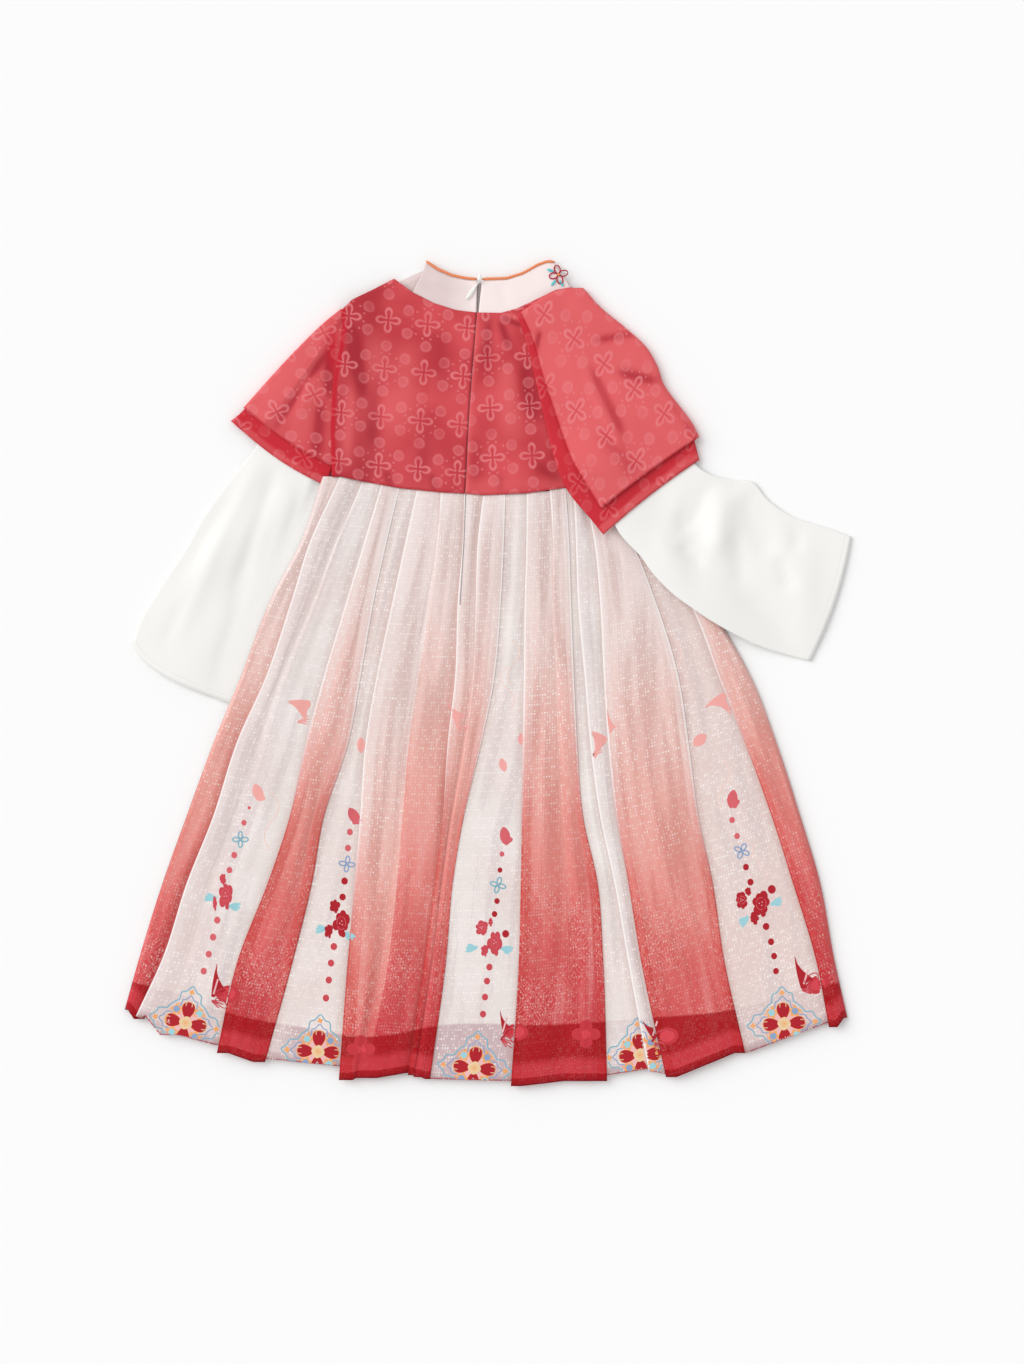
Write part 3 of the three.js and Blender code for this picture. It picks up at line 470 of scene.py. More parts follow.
side_left, side_right = [dict(xs=side["x"], hem=side["hem"]) for side in (SIDE_LEFT, SIDE_RIGHT)]
look = (1, 24)
half_turn = np.linspace(0, math.pi, 6)
column(**side_left, shift=0.4, z=FLOOR + PLY, look=look)
column(**side_left, shift=1.2, z=FLOOR + 2 * PLY, look=look)
begin = dict(side_left, shift=4, z=LOW, on_top=True)
rise = 0.5
for i, fold in enumerate(FOLDS):
    depth = tuck_of(i)
    step = STEP[fold["over"]]
    high = LOW + 2 * step
    bend = step / 2 * np.clip(depth / 4, 0, 1)
    right = fold["over"] == "R"
    clear = np.maximum(2, depth + 1.4)
    # where the tuck has run out, the fold goes over into a slope between the two heights
    sloped = 1 - smooth(-0.5, 4.5, depth)
    end = dict(xs=fold["x"], hem=fold["hem"][0], on_top=not right, open=12 * sloped)
    end.update(shift=np.minimum(0, depth) - 2 if right else -clear, z=LOW if right else high)
    band(begin, end, rise, look, i)
    following = (fold["red"], fold["lead"])
    under_hem, upper_hem = fold["hem"] if right else fold["hem"][::-1]
    under_look, upper_look = (look, following) if right else (following, look)
    # round the tuck's inner edge, back out and round the fold itself, then onto the upper band
    steps = [
        (depth - bend + bend * math.sin(a), LOW + step / 2 * (1 - math.cos(a)), 0) for a in half_turn
    ]
    steps += [
        (bend - bend * math.sin(a), LOW + step + step / 2 * (1 - math.cos(a)), 1) for a in half_turn
    ]
    steps.append((np.maximum(1.0, depth), high, 1))
    wide = np.maximum(1.4, 1.4 - depth)
    run = []
    for k, (shift, z, upper) in enumerate(steps):
        shift = shift * (1 - sloped) + (k / 12 * (wide + 1) - wide) * sloped
        z = z * (1 - sloped) + (LOW + 2 * step * smooth(0, 1, k / 12)) * sloped
        made = dict(xs=fold["x"], shift=shift if right else -shift, z=z)
        made.update(hem=upper_hem if upper else under_hem, look=upper_look if upper else under_look)
        made["crest"] = (np.maximum(shift, 0) if upper else FAR * sloped) + 3 * sloped
        made["under"] = FAR if upper else np.maximum(0, -shift) + 12 * sloped
        made["tucked"] = upper * np.clip(depth / 3, 0, 1)
        made["u"] = shift + BAND_PITCH * (i + 1)
        run.append(made)
    for s, made in enumerate(run if right else run[::-1]):
        if i == CENTRE_FOLD and s == 2:
            panels.append([])
        column(**made)
    begin = dict(xs=fold["x"], hem=fold["hem"][1], on_top=right, open=12 * sloped)
    begin.update(shift=clear if right else 2, z=high if right else LOW)
    rise, look = fold["rise"], following
band(begin, dict(side_right, shift=-4, z=LOW, on_top=True), rise, look, len(FOLDS))
column(**side_right, shift=-1.2, z=FLOOR + 2 * PLY, look=look)
column(**side_right, shift=-0.4, z=FLOOR + PLY, look=look)


def stands_for(made, node):
    """Lays a finished piece in its solid's place."""
    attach(made, "root")
    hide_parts(node)


skirt_backs = []
for name, columns in zip(("skirt_back_left", "skirt_back_right"), panels):
    x, y, z, u = [np.stack([c[k] for c in columns], 1) for k in range(4)]
    numbers = {key: np.stack([c[4][key] for c in columns], 1) for key in columns[0][4]}
    points = np.stack([x, y, z], -1)
    made = cloth(name + "_cloth", points, skirt_cloth, values=numbers, uv=np.stack([u, y], -1))
    stands_for(made, name)
    skirt_backs.append(made)

# ------------------------------------------------------------------ lining and front of the skirt
# The lining is a white voile tube whose hem shows through the bare organza, and the front lies on
# the table in the same organza, its pleats pressed flat.
voile = material("Cotton voile", 0.85, 0.1, "#F3EEEC")[0]
ON_TABLE = 0.3
FRONT_HEM = dict(x=[124, 230, 340, 468, 600, 740, 848], y=[1006, 1044, 1062, 1070, 1066, 1044, 1012])


def skirt_layer(shares, inset, hem_table, z, top_drop):
    """Points of a plain layer between the skirt's sides, each column ending at its own hem."""
    columns = []
    for s in shares:
        left, right = np.array(SIDE_LEFT["x"]) + inset, np.array(SIDE_RIGHT["x"]) - inset
        xs = left + (right - left) * s
        full = float(np.interp(xs[8], FRONT_HEM["x"], FRONT_HEM["y"])) + 5
        hem = float(np.interp(xs[8], hem_table["x"], hem_table["y"]))
        top = waist_y(xs[0]) + top_drop
        y = top + (hem - top) * down_rows
        x = curve([*ROW_Y, full], xs, y)
        lie = (z(s) if callable(z) else z) + over_left_sleeve(x, y)
        columns.append(np.stack(np.broadcast_arrays(x, y, lie), -1))
    return np.stack(columns, 1)


def pressed(s):
    """Height of the front across its width: flat, with a narrow ridge at each pressed pleat."""
    return FLOOR - 0.3 + 0.5 * (math.cos(2 * math.pi * 9 * s) > 0.93)


shares = np.concatenate(
    [[0, 0.015, 0.03], np.linspace(0.05, 0.2, 7), np.linspace(0.23, 0.97, 34), [0.985, 1]]
)
points = skirt_layer(shares, 0.6, FRONT_HEM, pressed, 0.4)
bands = np.broadcast_to((np.floor(shares * 9 + 0.5) % 2)[None, :], points.shape[:2])
numbers = dict(red=bands, lead=0.0, crest=FAR, under=FAR, tucked=0.0)
numbers["to_hem"] = points[-1:, :, 1] - points[..., 1]
made = cloth("skirt_front_cloth", points, skirt_cloth, values=numbers, uv=points[..., :2])
stands_for(made, "skirt_front")
under = skirt_layer(shares, 3.2, LINING_HEM, FLOOR + PLY, 3.4)
over = skirt_layer(shares, 3.2, LINING_HEM, FLOOR + 2 * PLY, 3.4)[:, ::-1]
edge_right = (under[:, -1:] + over[:, :1]) / 2 + [0.7, 0, 0]
edge_left = (under[:, :1] + over[:, -1:]) / 2 - [0.7, 0, 0]
points = np.concatenate([under, edge_right, over, edge_left], 1)
made = cloth("skirt_lining_cloth", points, voile, ring=True)
stands_for(made, "skirt_lining")

# ------------------------------------------------------------------ sleeves
# Wide straight sleeves of crepe chiffon, each a flattened tube with a narrow turned hem at the
# cuff. The left one lies on the table, the right one climbs over the skirt's side.
crepe, tree, shader = material("Crepe chiffon", 0.8, 0.25, "#F3F2EF")
place = read("TexCoord", out="Object")
grain = read("TexNoise", place, None, 1400.0, 3.0)
feed(shader.inputs["Normal"], read("Bump", 0.25, 0.3 / 1000, None, grain))


def creases(x, y, table):
    """Height of soft creases: each runs from one mat point to another, h high and w wide, and
    fades towards its ends."""
    z = np.zeros(np.broadcast(x, y).shape)
    for x0, y0, x1, y1, w, h in table:
        dx, dy = x1 - x0, y1 - y0
        long = math.hypot(dx, dy)
        t = ((x - x0) * dx + (y - y0) * dy) / long**2
        off = ((x - x0) * dy - (y - y0) * dx) / long
        z = z + h * np.exp(-((off / w) ** 2)) * smooth(-0.12, 0.25, t) * (1 - smooth(0.7, 1.12, t))
    return z


def over_skirt(x, y):
    """1 where the right sleeve lies on the skirt, 0 where it has come down to the table."""
    side = curve(ROW_Y, SIDE_RIGHT["x"][:8], np.maximum(y, 482))
    return (1 - smooth(-20, 48, 0.8 * (x - side))) * smooth(426, 476, y)


# upper edge; underarm edge; height of the lower layer; swell of the top; bend of the row's middle
# along the sleeve
SLEEVES = dict(
    sleeve_left=[
        ([338, 322], [339, 464], 3.3, 0, 0),
        ([304, 357], [337, 473], 3.3, 0, 0),
        ([280, 389], [334, 481], 3.3, 0, 0),
        ([264, 414], [329, 491], 3.3, 0, 0),
        ([258.5, 443], [323, 503], 3.3, 0.3, 0),
        ([235, 474], [315, 530], 1.2, 2.6, 0),
        ([204, 516], [305, 560], 0.5, 3.4, 0),
        ([185, 550], [296, 590], 0.5, 3.6, 2),
        ([162, 584], [285, 625], 0.5, 3.0, 6),
        ([141, 619], [273, 668], 0.5, 2.4, 12),
        ([133, 642], [262, 715], 0.5, 1.8, 15),
    ],
    sleeve_right=[
        ([600, 326], [600, 466], 3.3, 0, 0),
        ([623, 348], [602, 486], 3.3, 0, 0),
        ([643, 374], [607, 506], 3.3, 0, 0),
        ([661, 406], [612, 520], 3.3, 0, 0),
        ([681, 434], [619, 533], 3.3, 0, 0),
        ([690, 458], [628, 544], 3.3, 0, 0),
        ([709, 474], [640, 556], 3.0, 1.2, 0),
        ([736, 480], [652, 573], 0.6, 3.0, 0),
        ([754, 482], [670, 592], 0.5, 3.6, 0),
        ([768, 499], [690, 607], 0.5, 3.6, 0),
        ([790, 515], [716, 624], 0.5, 3.0, 2),
        ([812, 523], [752, 643], 0.5, 2.6, 4),
        ([834, 530], [784, 654], 0.5, 1.8, 5),
        ([852, 537], [811, 661], 0.5, 1.2, 5),
    ],
)
# x and y of each end, width, height
SLEEVE_CREASES = dict(
    sleeve_left=[
        (262, 450, 196, 588, 9, 1.9),
        (278, 462, 232, 600, 7, -2.1),
        (292, 476, 262, 640, 9, 1.7),
        (240, 478, 168, 600, 8, -1.8),
        (222, 520, 176, 640, 9, 1.5),
        (250, 560, 214, 690, 8, -1.5),
        (206, 560, 160, 650, 6, -1.2),
        (270, 580, 240, 694, 7, 1.2),
    ],
    sleeve_right=[
        (708, 470, 681, 532, 8, -4.6),
        (722, 486, 714, 560, 13, 5.4),
        (680, 546, 703, 566, 5, -3.2),
        (752, 492, 770, 560, 12, -2.8),
        (798, 516, 796, 552, 6, -3.0),
        (780, 556, 790, 592, 7, -2.6),
        (736, 530, 742, 588, 8, -2.2),
        (700, 580, 780, 640, 9, 1.1),
        (738, 600, 800, 640, 7, -0.8),
        (654, 530, 690, 590, 8, 1.2),
        (812, 534, 800, 650, 10, 0.9),
    ],
)
# the right sleeve's lower layer where it lies on the skirt, and the millimetres from one row of a
# sleeve's table to the next
ON_SKIRT = 13.2
STATION = 30


def bowed(name, s):
    """How far a row is bent at share s of its width; the left cuff's bend is nearer its tip."""
    return np.sin(math.pi * s ** (0.55 if name == "sleeve_left" else 1))


sleeves = {}
for name, table in SLEEVES.items():
    stations = np.arange(len(table))
    t = np.linspace(0, len(table) - 1, 72)[:, None]
    upper_edge, underarm, *heights = zip(*table)
    base, puff, bow = [curve(stations, values, t) for values in heights]
    ax, ay, bx, by = [curve(stations, values, t) for values in (*zip(*upper_edge), *zip(*underarm))]
    ahead = np.stack([np.gradient((ax + bx)[:, 0]), np.gradient((ay + by)[:, 0])])
    ahead /= np.linalg.norm(ahead, axis=0)
    s = np.concatenate([[0, 0.015, 0.04], np.linspace(0.08, 0.92, 26), [0.96, 0.985, 1]])[None, :]
    bow = bow * bowed(name, s)
    x = ax * (1 - s) + bx * s + ahead[0][:, None] * bow
    y = ay * (1 - s) + by * s + ahead[1][:, None] * bow
    base = base + 0 * s
    free = np.clip(puff / 1.5, 0, 1) * np.sin(math.pi * s) ** 0.5
    if name == "sleeve_left":
        base = base + (FLOOR - base) * smooth(0.74, 0.86, s)
        swell = np.maximum(0, np.sin(math.pi * np.clip(s / 0.72, 0, 1)))
        swell = swell * (1 + 0.25 * np.sin(1.7 * t + 9 * s))
        free = free * (1 - smooth(0.66, 0.8, s))
    else:
        base = base + (ON_SKIRT - base) * over_skirt(x, y)
        swell = np.sin(math.pi * s) * (1 + 0.35 * np.sin(2.1 * t - 8 * s))
    relief = np.maximum(creases(x, y, SLEEVE_CREASES[name]) * free, -puff * swell)
    top = base + PLY + puff * swell + relief
    cuff_seam = 0.25 * np.exp(-((((len(table) - 1 - t) * STATION - 7) / 1.6) ** 2))
    lower = np.stack([x, y, base], -1)
    upper = np.stack([x, y, top - cuff_seam], -1)[:, ::-1]
    edge_b = np.stack([x[:, -1] + 0.5, y[:, -1] + 0.3, base[:, -1] + PLY / 2], -1)[:, None]
    edge_a = np.stack([x[:, 0] - 0.5, y[:, 0] - 0.3, base[:, 0] + PLY / 2], -1)[:, None]
    points = np.concatenate([lower, edge_b, upper, edge_a], 1)
    sleeves[name] = cloth(name + "_cloth", points, crepe, ring=True)
    stands_for(sleeves[name], name)

# ------------------------------------------------------------------ bodice
# Sheer red organza printed with pale four-petal flowers, every other one ringed with dots and
# discs. The back is in two halves at the zip, and its left edge rides over the cape.
organza, tree, shader = material("Printed organza", 0.6, 0.08, specular=0.15)
place = read("TexCoord", out="Object")
cloth_uv = [Value(way) for way in add("SeparateXYZ", read("UVMap", uv_map="cloth")).outputs]
PITCH_U, PITCH_V = 39.6, 48.7


def from_centre(axis, pitch, shift):
    """Millimetres from the middle of the nearest repeat."""
    return (do("FRACT", (cloth_uv[axis] + shift) / pitch + 0.5) - 0.5) * pitch


def length(a, b):
    return do("SQRT", a * a + b * b)


def flower():
    """Outline of four long petals grown together, and a dark slit down each."""
    a, b = [do("ABSOLUTE", from_centre(i, pitch, 0.0)) for i, pitch in enumerate((PITCH_U, PITCH_V))]
    far, near = do("MAXIMUM", a, b), do("MINIMUM", a, b)
    past = do("MAXIMUM", far - 7.4, 0.0) / 4.4
    petal = length(past, near / ramp(far, 1.0, 8.0, 1.7, 3.2))
    outline = ramp(do("ABSOLUTE", petal - 0.95), 0.52, 0.12)
    return outline, ramp(near, 1.1, 0.2) * ramp(far, 9.0, 7.0)


def around(radius, count, size, shift_u, shift_v):
    """Distance, in shares of size, from the nearest of count round spots on a circle."""
    a, b = from_centre(0, 2 * PITCH_U, shift_u), from_centre(1, 2 * PITCH_V, shift_v)
    step = do("FRACT", do("ARCTAN2", b, a) / (2 * math.pi / count)) - 0.5
    return length(step * (2 * math.pi * radius / count), length(a, b) - radius) / size


petal, slit = flower()
pale = petal * 0.6
for shift_u, shift_v in ((0.0, 0.0), (PITCH_U, PITCH_V)):
    dots = ramp(around(15.6, 12, 1.3, shift_u, shift_v), 1.3, 0.5)
    spot = around(22.6, 6, 6.2, shift_u, shift_v)
    disc = ramp(spot, 1.05, 0.85)
    rim = ramp(do("ABSOLUTE", spot - 0.7), 0.22, 0.05)
    for part, share in ((dots, 0.42), (disc, 0.24), (rim, 0.4)):
        pale = do("MAXIMUM", pale, part * share)
deep, dark, light = [
    read("Attribute", out="Fac", attribute_name=name) for name in ("deep", "dark", "light")
]
base = mixed(ramp(read("TexNoise", place, None, 14.0, 2.0), 0.36, 0.66), "#C13A42", "#D85258")
# painted shade (dark) and painted highlight (light), laid out on each piece of the bodice and capes
base = mixed(dark * 0.8, base, "#A32331")
base = mixed(light * 0.8, base, "#E6676A")
base = mixed(slit * 0.4, base, "#BF323D")
base = mixed(deep * 0.88, base, "#C61529")
worn = read("TexNoise", place, None, 60.0, 2.0)
pale = pale * ramp(worn, 0.3, 0.6, 0.6, 1.1)
base = mixed(pale * do("MULTIPLY_ADD", deep, -0.6, 1.0), base, "#EB868B")
feed(shader.inputs["Base Color"], base)
grain = read("TexNoise", place, None, 1100.0, 2.0)
feed(shader.inputs["Normal"], read("Bump", 0.2, 0.2 / 1000, None, grain))


def along(edge, t):
    """Points at shares t of the way along an edge."""
    edge = np.asarray(edge, float)
    run = np.concatenate([[0], np.cumsum(np.linalg.norm(np.diff(edge, axis=0), axis=1))])
    return np.stack([np.interp(t * run[-1], run, edge[:, k]) for k in (0, 1)], -1)


def between(top, bottom, left, right, nu, nv):
    """x and y of a grid of points between four edges."""
    u, v = np.linspace(0, 1, nu), np.linspace(0, 1, nv)
    t, b = along(top, u)[None], along(bottom, u)[None]
    l, r = along(left, v)[:, None], along(right, v)[:, None]
    u, v = u[None, :, None], v[:, None, None]
    corners = (1 - v) * ((1 - u) * t[:, :1] + u * t[:, -1:]) + v * ((1 - u) * b[:, :1] + u * b[:, -1:])
    p = (1 - v) * t + v * b + (1 - u) * l + u * r - corners
    return p[..., 0], p[..., 1]


def waist_run(x0, x1):
    """Points of the waist seam from one side to the other."""
    xs = [x0] + [x for x in WAIST[:, 0].tolist() if x0 < x < x1] + [x1]
    return [[x, waist_y(x) + 0.6] for x in xs]


CENTRE_BACK = np.array([[476.6, 312.4], [472.4, 365], [468.4, 419], [464.9, 493.6]])
# x and y of each end, width, height
BODICE_CREASES = [
    (350, 322, 364, 400, 7, -1.1),
    (372, 330, 386, 440, 14, 0.6),
    (352, 380, 346, 470, 6, 0.6),
    (380, 372, 372, 450, 9, -0.7),
    (408, 340, 402, 430, 14, 0.5),
    (428, 420, 420, 486, 9, -0.4),
    (440, 330, 444, 400, 10, -0.4),
    (489, 318, 487, 372, 5, -0.9),
    (500, 320, 512, 352, 4, -1.0),
    (504, 318, 522, 326, 2.4, -1.1),
    (508, 314, 528, 322, 2.2, 0.9),
    (524, 360, 536, 424, 8, -1.2),
    (506, 360, 512, 440, 12, 0.6),
    (536, 464, 562, 484, 6, -0.8),
    (480, 440, 476, 486, 8, -0.4),
    (386, 470, 392, 489, 4, -0.5),
    (432, 474, 436, 492, 4, -0.5),
    (500, 476, 502, 494, 4, -0.5),
]
BACK_LOW = 4.5


def back_height(x, y):
    """Height of the bodice's back, which rises over the skirt's top and the left cape."""
    left = 1 - smooth(20, 52, x - 333)
    on_cape = FLOOR + 6.1 * PLY + 1.5 * smooth(452, 474, y)
    z = np.maximum(BACK_LOW + 3.1 * smooth(440, 492, y), BACK_LOW + (on_cape - BACK_LOW) * left)
    return z + creases(x, y, BODICE_CREASES) * (1 - 0.6 * left)


HALVES = dict(
    bodice_back_left=dict(
        top=[
            [341, 311], [352, 300], [372, 290], [394, 278.4],
            [413, 292.4], [434, 303], [456, 310], [476.6, 312.4],
        ],
        bottom=waist_run(332, 464.9),
        left=[[341, 311], [343, 326], [340, 347], [334, 376], [332, 401], [331, 427], [332, 477]],
        right=CENTRE_BACK,
    ),
    bodice_back_right=dict(
        top=[
            [477.1, 312.4], [501, 312.8], [517, 308.4], [538, 298.4],
            [556, 289.6], [572, 287], [583, 299], [594, 316],
        ],
        bottom=waist_run(465.4, 599),
        left=CENTRE_BACK + [0.5, 0],
        right=[[594, 316], [594, 336], [596, 400], [598, 440], [599, 481]],
    ),
)
for name, edges in HALVES.items():
    x, y = between(**edges, nu=64, nv=80)
    z = back_height(x, y) + 0.5 * (1 - smooth(0, 12, y - np.interp(x, *np.transpose(edges["top"]))))
    from_zip = x - np.interp(y, CENTRE_BACK[:, 1], CENTRE_BACK[:, 0])
    from_waist = np.abs(y - waist_y(x))
    seam = 0.35 * np.exp(-(((from_waist - 2.6) / 1.0) ** 2))
    relief = creases(x, y, BODICE_CREASES)
    deep = 0.35 * (1 - smooth(0.8, 2.2, from_waist))
    # painted shade in the creases' hollows and over the left side, painted highlight on their ridges
    dark = np.clip(-relief / 0.9, 0, 1) + 0.4 * (1 - smooth(350, 410, x))
    bright = np.clip(relief / 0.8, 0, 1)
    if name == "bodice_back_left":
        uv = [from_zip + 48.1, y - 324 - 0.1 * (x - 428)]
        from_edge = x - np.interp(y, *np.transpose(edges["left"])[::-1])
        deep = np.maximum(1 - smooth(2.5, 6, from_edge), deep)
        # painted shade beside the zip and, more lightly, towards the waist
        dark = dark + 0.7 * (1 - smooth(0.3, 1.6, np.abs(from_zip))) + 0.25 * smooth(420, 480, y)
    else:
        uv = [x - 487.6 - 0.05 * (y - 357.8), 0.974 * (y - 357.8 + 0.05 * (x - 487))]
        # painted highlight along the waist and beside the zip
        bright = bright + 0.4 * smooth(472, 486, y) + 0.5 * (1 - smooth(1.5, 6, np.abs(from_zip)))
    numbers = dict(deep=deep, dark=np.clip(dark, 0, 1), light=np.clip(bright, 0, 1))
    points = np.stack([x, y, z - seam], -1)
    made = cloth(name + "_cloth", points, organza, values=numbers, uv=np.stack(uv, -1))
    stands_for(made, name)
FRONT_NECK = [[420, 322], [445, 342], [484, 349], [524, 340], [550, 318]]
FRONT = dict(
    top=[[343, 314], [396, 283], *FRONT_NECK, [573, 290], [595, 312]],
    bottom=waist_run(341, 599),
    left=[[343, 314], [341, 380], [341, 477.4]],
    right=[[595, 312], [594, 400], [599, 480.8]],
)
x, y = between(**FRONT, nu=60, nv=40)
# painted shade: the front, lying under the back, is a little darker all over
numbers = dict(deep=0.0, dark=0.3, light=0.0)
points = np.stack([x, y, 0 * x + ON_TABLE], -1)
made = cloth("bodice_front_cloth", points, organza, values=numbers, uv=points[..., :2])
stands_for(made, "bodice_front")

# ------------------------------------------------------------------ capes
# Two tiers of the same organza each side, gathered to the shoulder and folded over it, with
# doubled hems. Where a tier lies on another it shows as a deeper red.
# inset: how far a tier is drawn in from its outer edge; table and top: heights of its lower and
# upper half; hem: bow of its hem; rows, from shoulder to hem: outer edge, end of the lower half,
# end of the upper half, rise of the upper half.
CAPES = dict(
    cape_left_under=dict(
        inset=1.8,
        table=FLOOR + PLY,
        top=FLOOR + 4 * PLY,
        hem=6,
        rows=[
            ([342, 311], [337, 316], [350, 318], 0),
            ([320, 328], [335, 342], [348, 340], 0.3),
            ([291, 357], [333, 376], [344, 372], 0.6),
            ([266, 386], [330, 408], [341, 404], 0.8),
            ([248, 403], [319, 432], [339, 434], 0.8),
            ([238, 413], [307, 448], [335, 460], 0.6),
            ([229, 420], [298, 466], [326, 486], 0.4),
        ],
    ),
    cape_left_upper=dict(
        inset=0,
        table=FLOOR,
        top=FLOOR + 5 * PLY,
        hem=6,
        rows=[
            ([341, 309], [338, 313], [352, 316], 0),
            ([320, 326.5], [336, 338], [350, 338], 0.4),
            ([291, 355.5], [334, 370], [346, 368], 0.8),
            ([268, 380.5], [331, 396], [343, 396], 1.0),
            ([253, 397.5], [320, 420], [341, 430], 1.0),
            ([243.7, 407.8], [311, 436], [341, 470], 0.5),
        ],
    ),
    cape_right_under=dict(
        inset=1.8,
        table=FLOOR + PLY,
        top=FLOOR + 4 * PLY,
        hem=-3,
        rows=[
            ([585, 291], [601, 322], [517, 314], 0),
            ([602, 309], [604, 342], [527, 346], 0.5),
            ([623, 327], [607, 368], [538, 391], 0.8),
            ([644, 347], [611, 396], [548, 434], 1.0),
            ([656, 367], [615, 424], [558, 471], 1.0),
            ([664, 388], [620, 450], [570, 495], 0.9),
            ([689, 421], [628, 478], [591, 520], 0.6),
            ([701, 459], [642, 500], [603, 535], 0.3),
        ],
    ),
    cape_right_upper=dict(
        inset=0,
        table=FLOOR,
        top=FLOOR + 5 * PLY,
        hem=-2,
        rows=[
            ([583, 288], [601, 318], [521, 312.6], 0),
            ([601, 308], [604, 336], [534, 342], 0.7),
            ([623, 326], [607, 360], [543, 376], 1.2),
            ([645, 346], [611, 388], [554, 409], 1.5),
            ([657, 366], [615, 414], [563, 436], 1.5),
            ([665, 387], [620, 438], [573, 462], 1.2),
            ([690, 420], [627, 462], [588, 488], 0.9),
            ([699, 437], [637, 482], [601, 509], 0.4),
        ],
    ),
)
CAPE_CREASES = dict(
    left=[
        (327, 342, 268, 424, 2.2, 1.3),
        (332, 346, 274, 430, 3.5, -0.8),
        (331, 350, 329, 400, 5, -1.0),
        (312, 372, 296, 440, 8, 0.8),
        (322, 400, 316, 462, 6, -0.7),
        (302, 360, 262, 410, 7, 0.6),
    ],
    right=[
        (582, 366, 618, 446, 3, 1.0),
        (590, 366, 626, 440, 5, -1.0),
        (560, 340, 580, 400, 10, 0.8),
        (594, 341, 640, 333, 4, -0.9),
        (617, 372, 660, 382, 5, -1.0),
        (668, 404, 694, 438, 3, -0.7),
        (628, 356, 654, 372, 4, 0.7),
        (640, 400, 682, 430, 9, 0.8),
        (600, 430, 640, 480, 10, -0.6),
        (540, 330, 536, 352, 3, -0.9),
        (572, 300, 600, 330, 6, 0.7),
    ],
)
# how far the right capes are lifted where they lie on the skirt, and the upper tier on the lower
CAPE_LIFT = 9.9
UPPER_LIFT = 2.4
CAPE_ROWS = 64
capes = {}
for name, cape in CAPES.items():
    right, inset = "right" in name, cape["inset"]
    side = -1 if right else 1
    stations = np.arange(len(cape["rows"]))
    t = np.linspace(0, len(stations) - 1, CAPE_ROWS)[:, None]
    *ends, rises = zip(*cape["rows"])
    out, low_end, top_end = [[curve(stations, values, t) for values in zip(*end)] for end in ends]
    rise = curve(stations, rises, t)
    out = [out[0] + side * inset, out[1] + 0.6 * inset]
    s = np.concatenate([[0.02, 0.05], np.linspace(0.09, 1, 42)])[None, :]
    # the hem is bowed, and on the right so is the neck edge
    bow = cape["hem"] * np.sin(math.pi * s) * np.clip(t - (len(stations) - 2), 0, 1)
    bow = bow - 8 * right * np.sin(math.pi * s) * (1 - smooth(0, 1.2, t))
    x = out[0] * (1 - s) + top_end[0] * s
    y = out[1] * (1 - s) + top_end[1] * s + bow
    lift = 0
    if right:
        lift = CAPE_LIFT * over_skirt(x, y) + (0 if inset else UPPER_LIFT) * smooth(372, 424, y)
    swell = rise * np.sin(math.pi * np.minimum(1, 1.05 * s)) * (1 + 0.4 * np.sin(11 * s + t))
    fold = creases(x, y, CAPE_CREASES["right" if right else "left"]) * (0.5 if inset else 1)
    relief = np.maximum(fold * smooth(0, 0.12, s) * (1 - smooth(0.92, 1, s)), -0.9)
    table, height = cape["table"], cape["top"] - cape["table"]
    top = np.stack([x, y, cape["top"] + lift + np.maximum(0, swell) + relief], -1)
    f = np.array([1, 0.7, 0.4, 0.15, 0.03])[None, :]
    low = [out[i] * (1 - f) + low_end[i] * f for i in (0, 1)]
    low = np.stack([*low, 0 * low[0] + table], -1)
    a = np.array([0.2, 0.5, 0.8])[None, :]
    wrap = [out[0] - side * 0.4 * np.sin(math.pi * a), out[1] + 0 * a, table + height * a + 0 * t]
    points = np.concatenate([low, np.stack(wrap, -1), top], 1)
    hidden = (CAPE_ROWS, f.size + a.size)
    from_hem = np.linalg.norm(points[-1:] - points, axis=2)
    if inset:
        # the second tier looks deep where the first lies close over it, lighter along its own hem
        own_hem = (7.5, 9.5) if right else (5.0, 8.5)
        deep = 0.95 - 0.65 * (1 - smooth(*own_hem, from_hem))
    else:
        deep = 0.7 * (1 - smooth(0.8, 2.0, from_hem))
    from_front = np.linalg.norm(top[:, -1:] - top, axis=2)
    from_front = np.concatenate([np.full(hidden, FAR), from_front], 1)
    deep = np.maximum(deep, 0.8 * (1 - smooth(0.6, 2.0, from_front)))
    # dark is painted shade in the creases' hollows; light lifts the whole cape to a lighter red, more on the
    # right capes, and adds painted highlight on the creases' ridges
    relief = np.concatenate([np.zeros(hidden), fold], 1) / 0.8
    dark = np.clip(-relief, 0, 1) * (0.45 if right else 1)
    light = np.clip((0.95 if right else 0.5) + relief, 0, 1)
    px, py = points[..., 0], points[..., 1]
    if name == "cape_left_upper":
        # the cape folds over along a line from the shoulder to the hem, deep red behind it; it is lighter
        # outside the line, with a painted shade just inside it
        past_fold = ((px - 326) * 85 + (py - 339.5) * 61) / 104.6
        light = np.maximum(0.7 * light, 0.95 * (1 - smooth(-3.5, 0.5, past_fold)))
        dark = np.maximum(dark, np.exp(-((past_fold - 2.0) ** 2) / 7))
        deep = np.maximum(deep, np.exp(-(((px - 333) / 6) ** 2) - ((py - 350) / 24) ** 2))
    # the print turns with the cape: the mat steps from one flower to the next, both ways
    steps = np.array([[30, -28], [25, 47]] if right else [[-37, 27], [17, 45]], float)
    start = [574, 339] if right else [314, 395]
    turns = (points[..., :2] - start) @ np.linalg.inv(steps).T * [PITCH_U, PITCH_V]
    numbers = dict(deep=deep, dark=dark, light=light)
    capes[name] = cloth(name + "_cloth", points, organza, values=numbers, uv=turns)
    stands_for(capes[name], name)

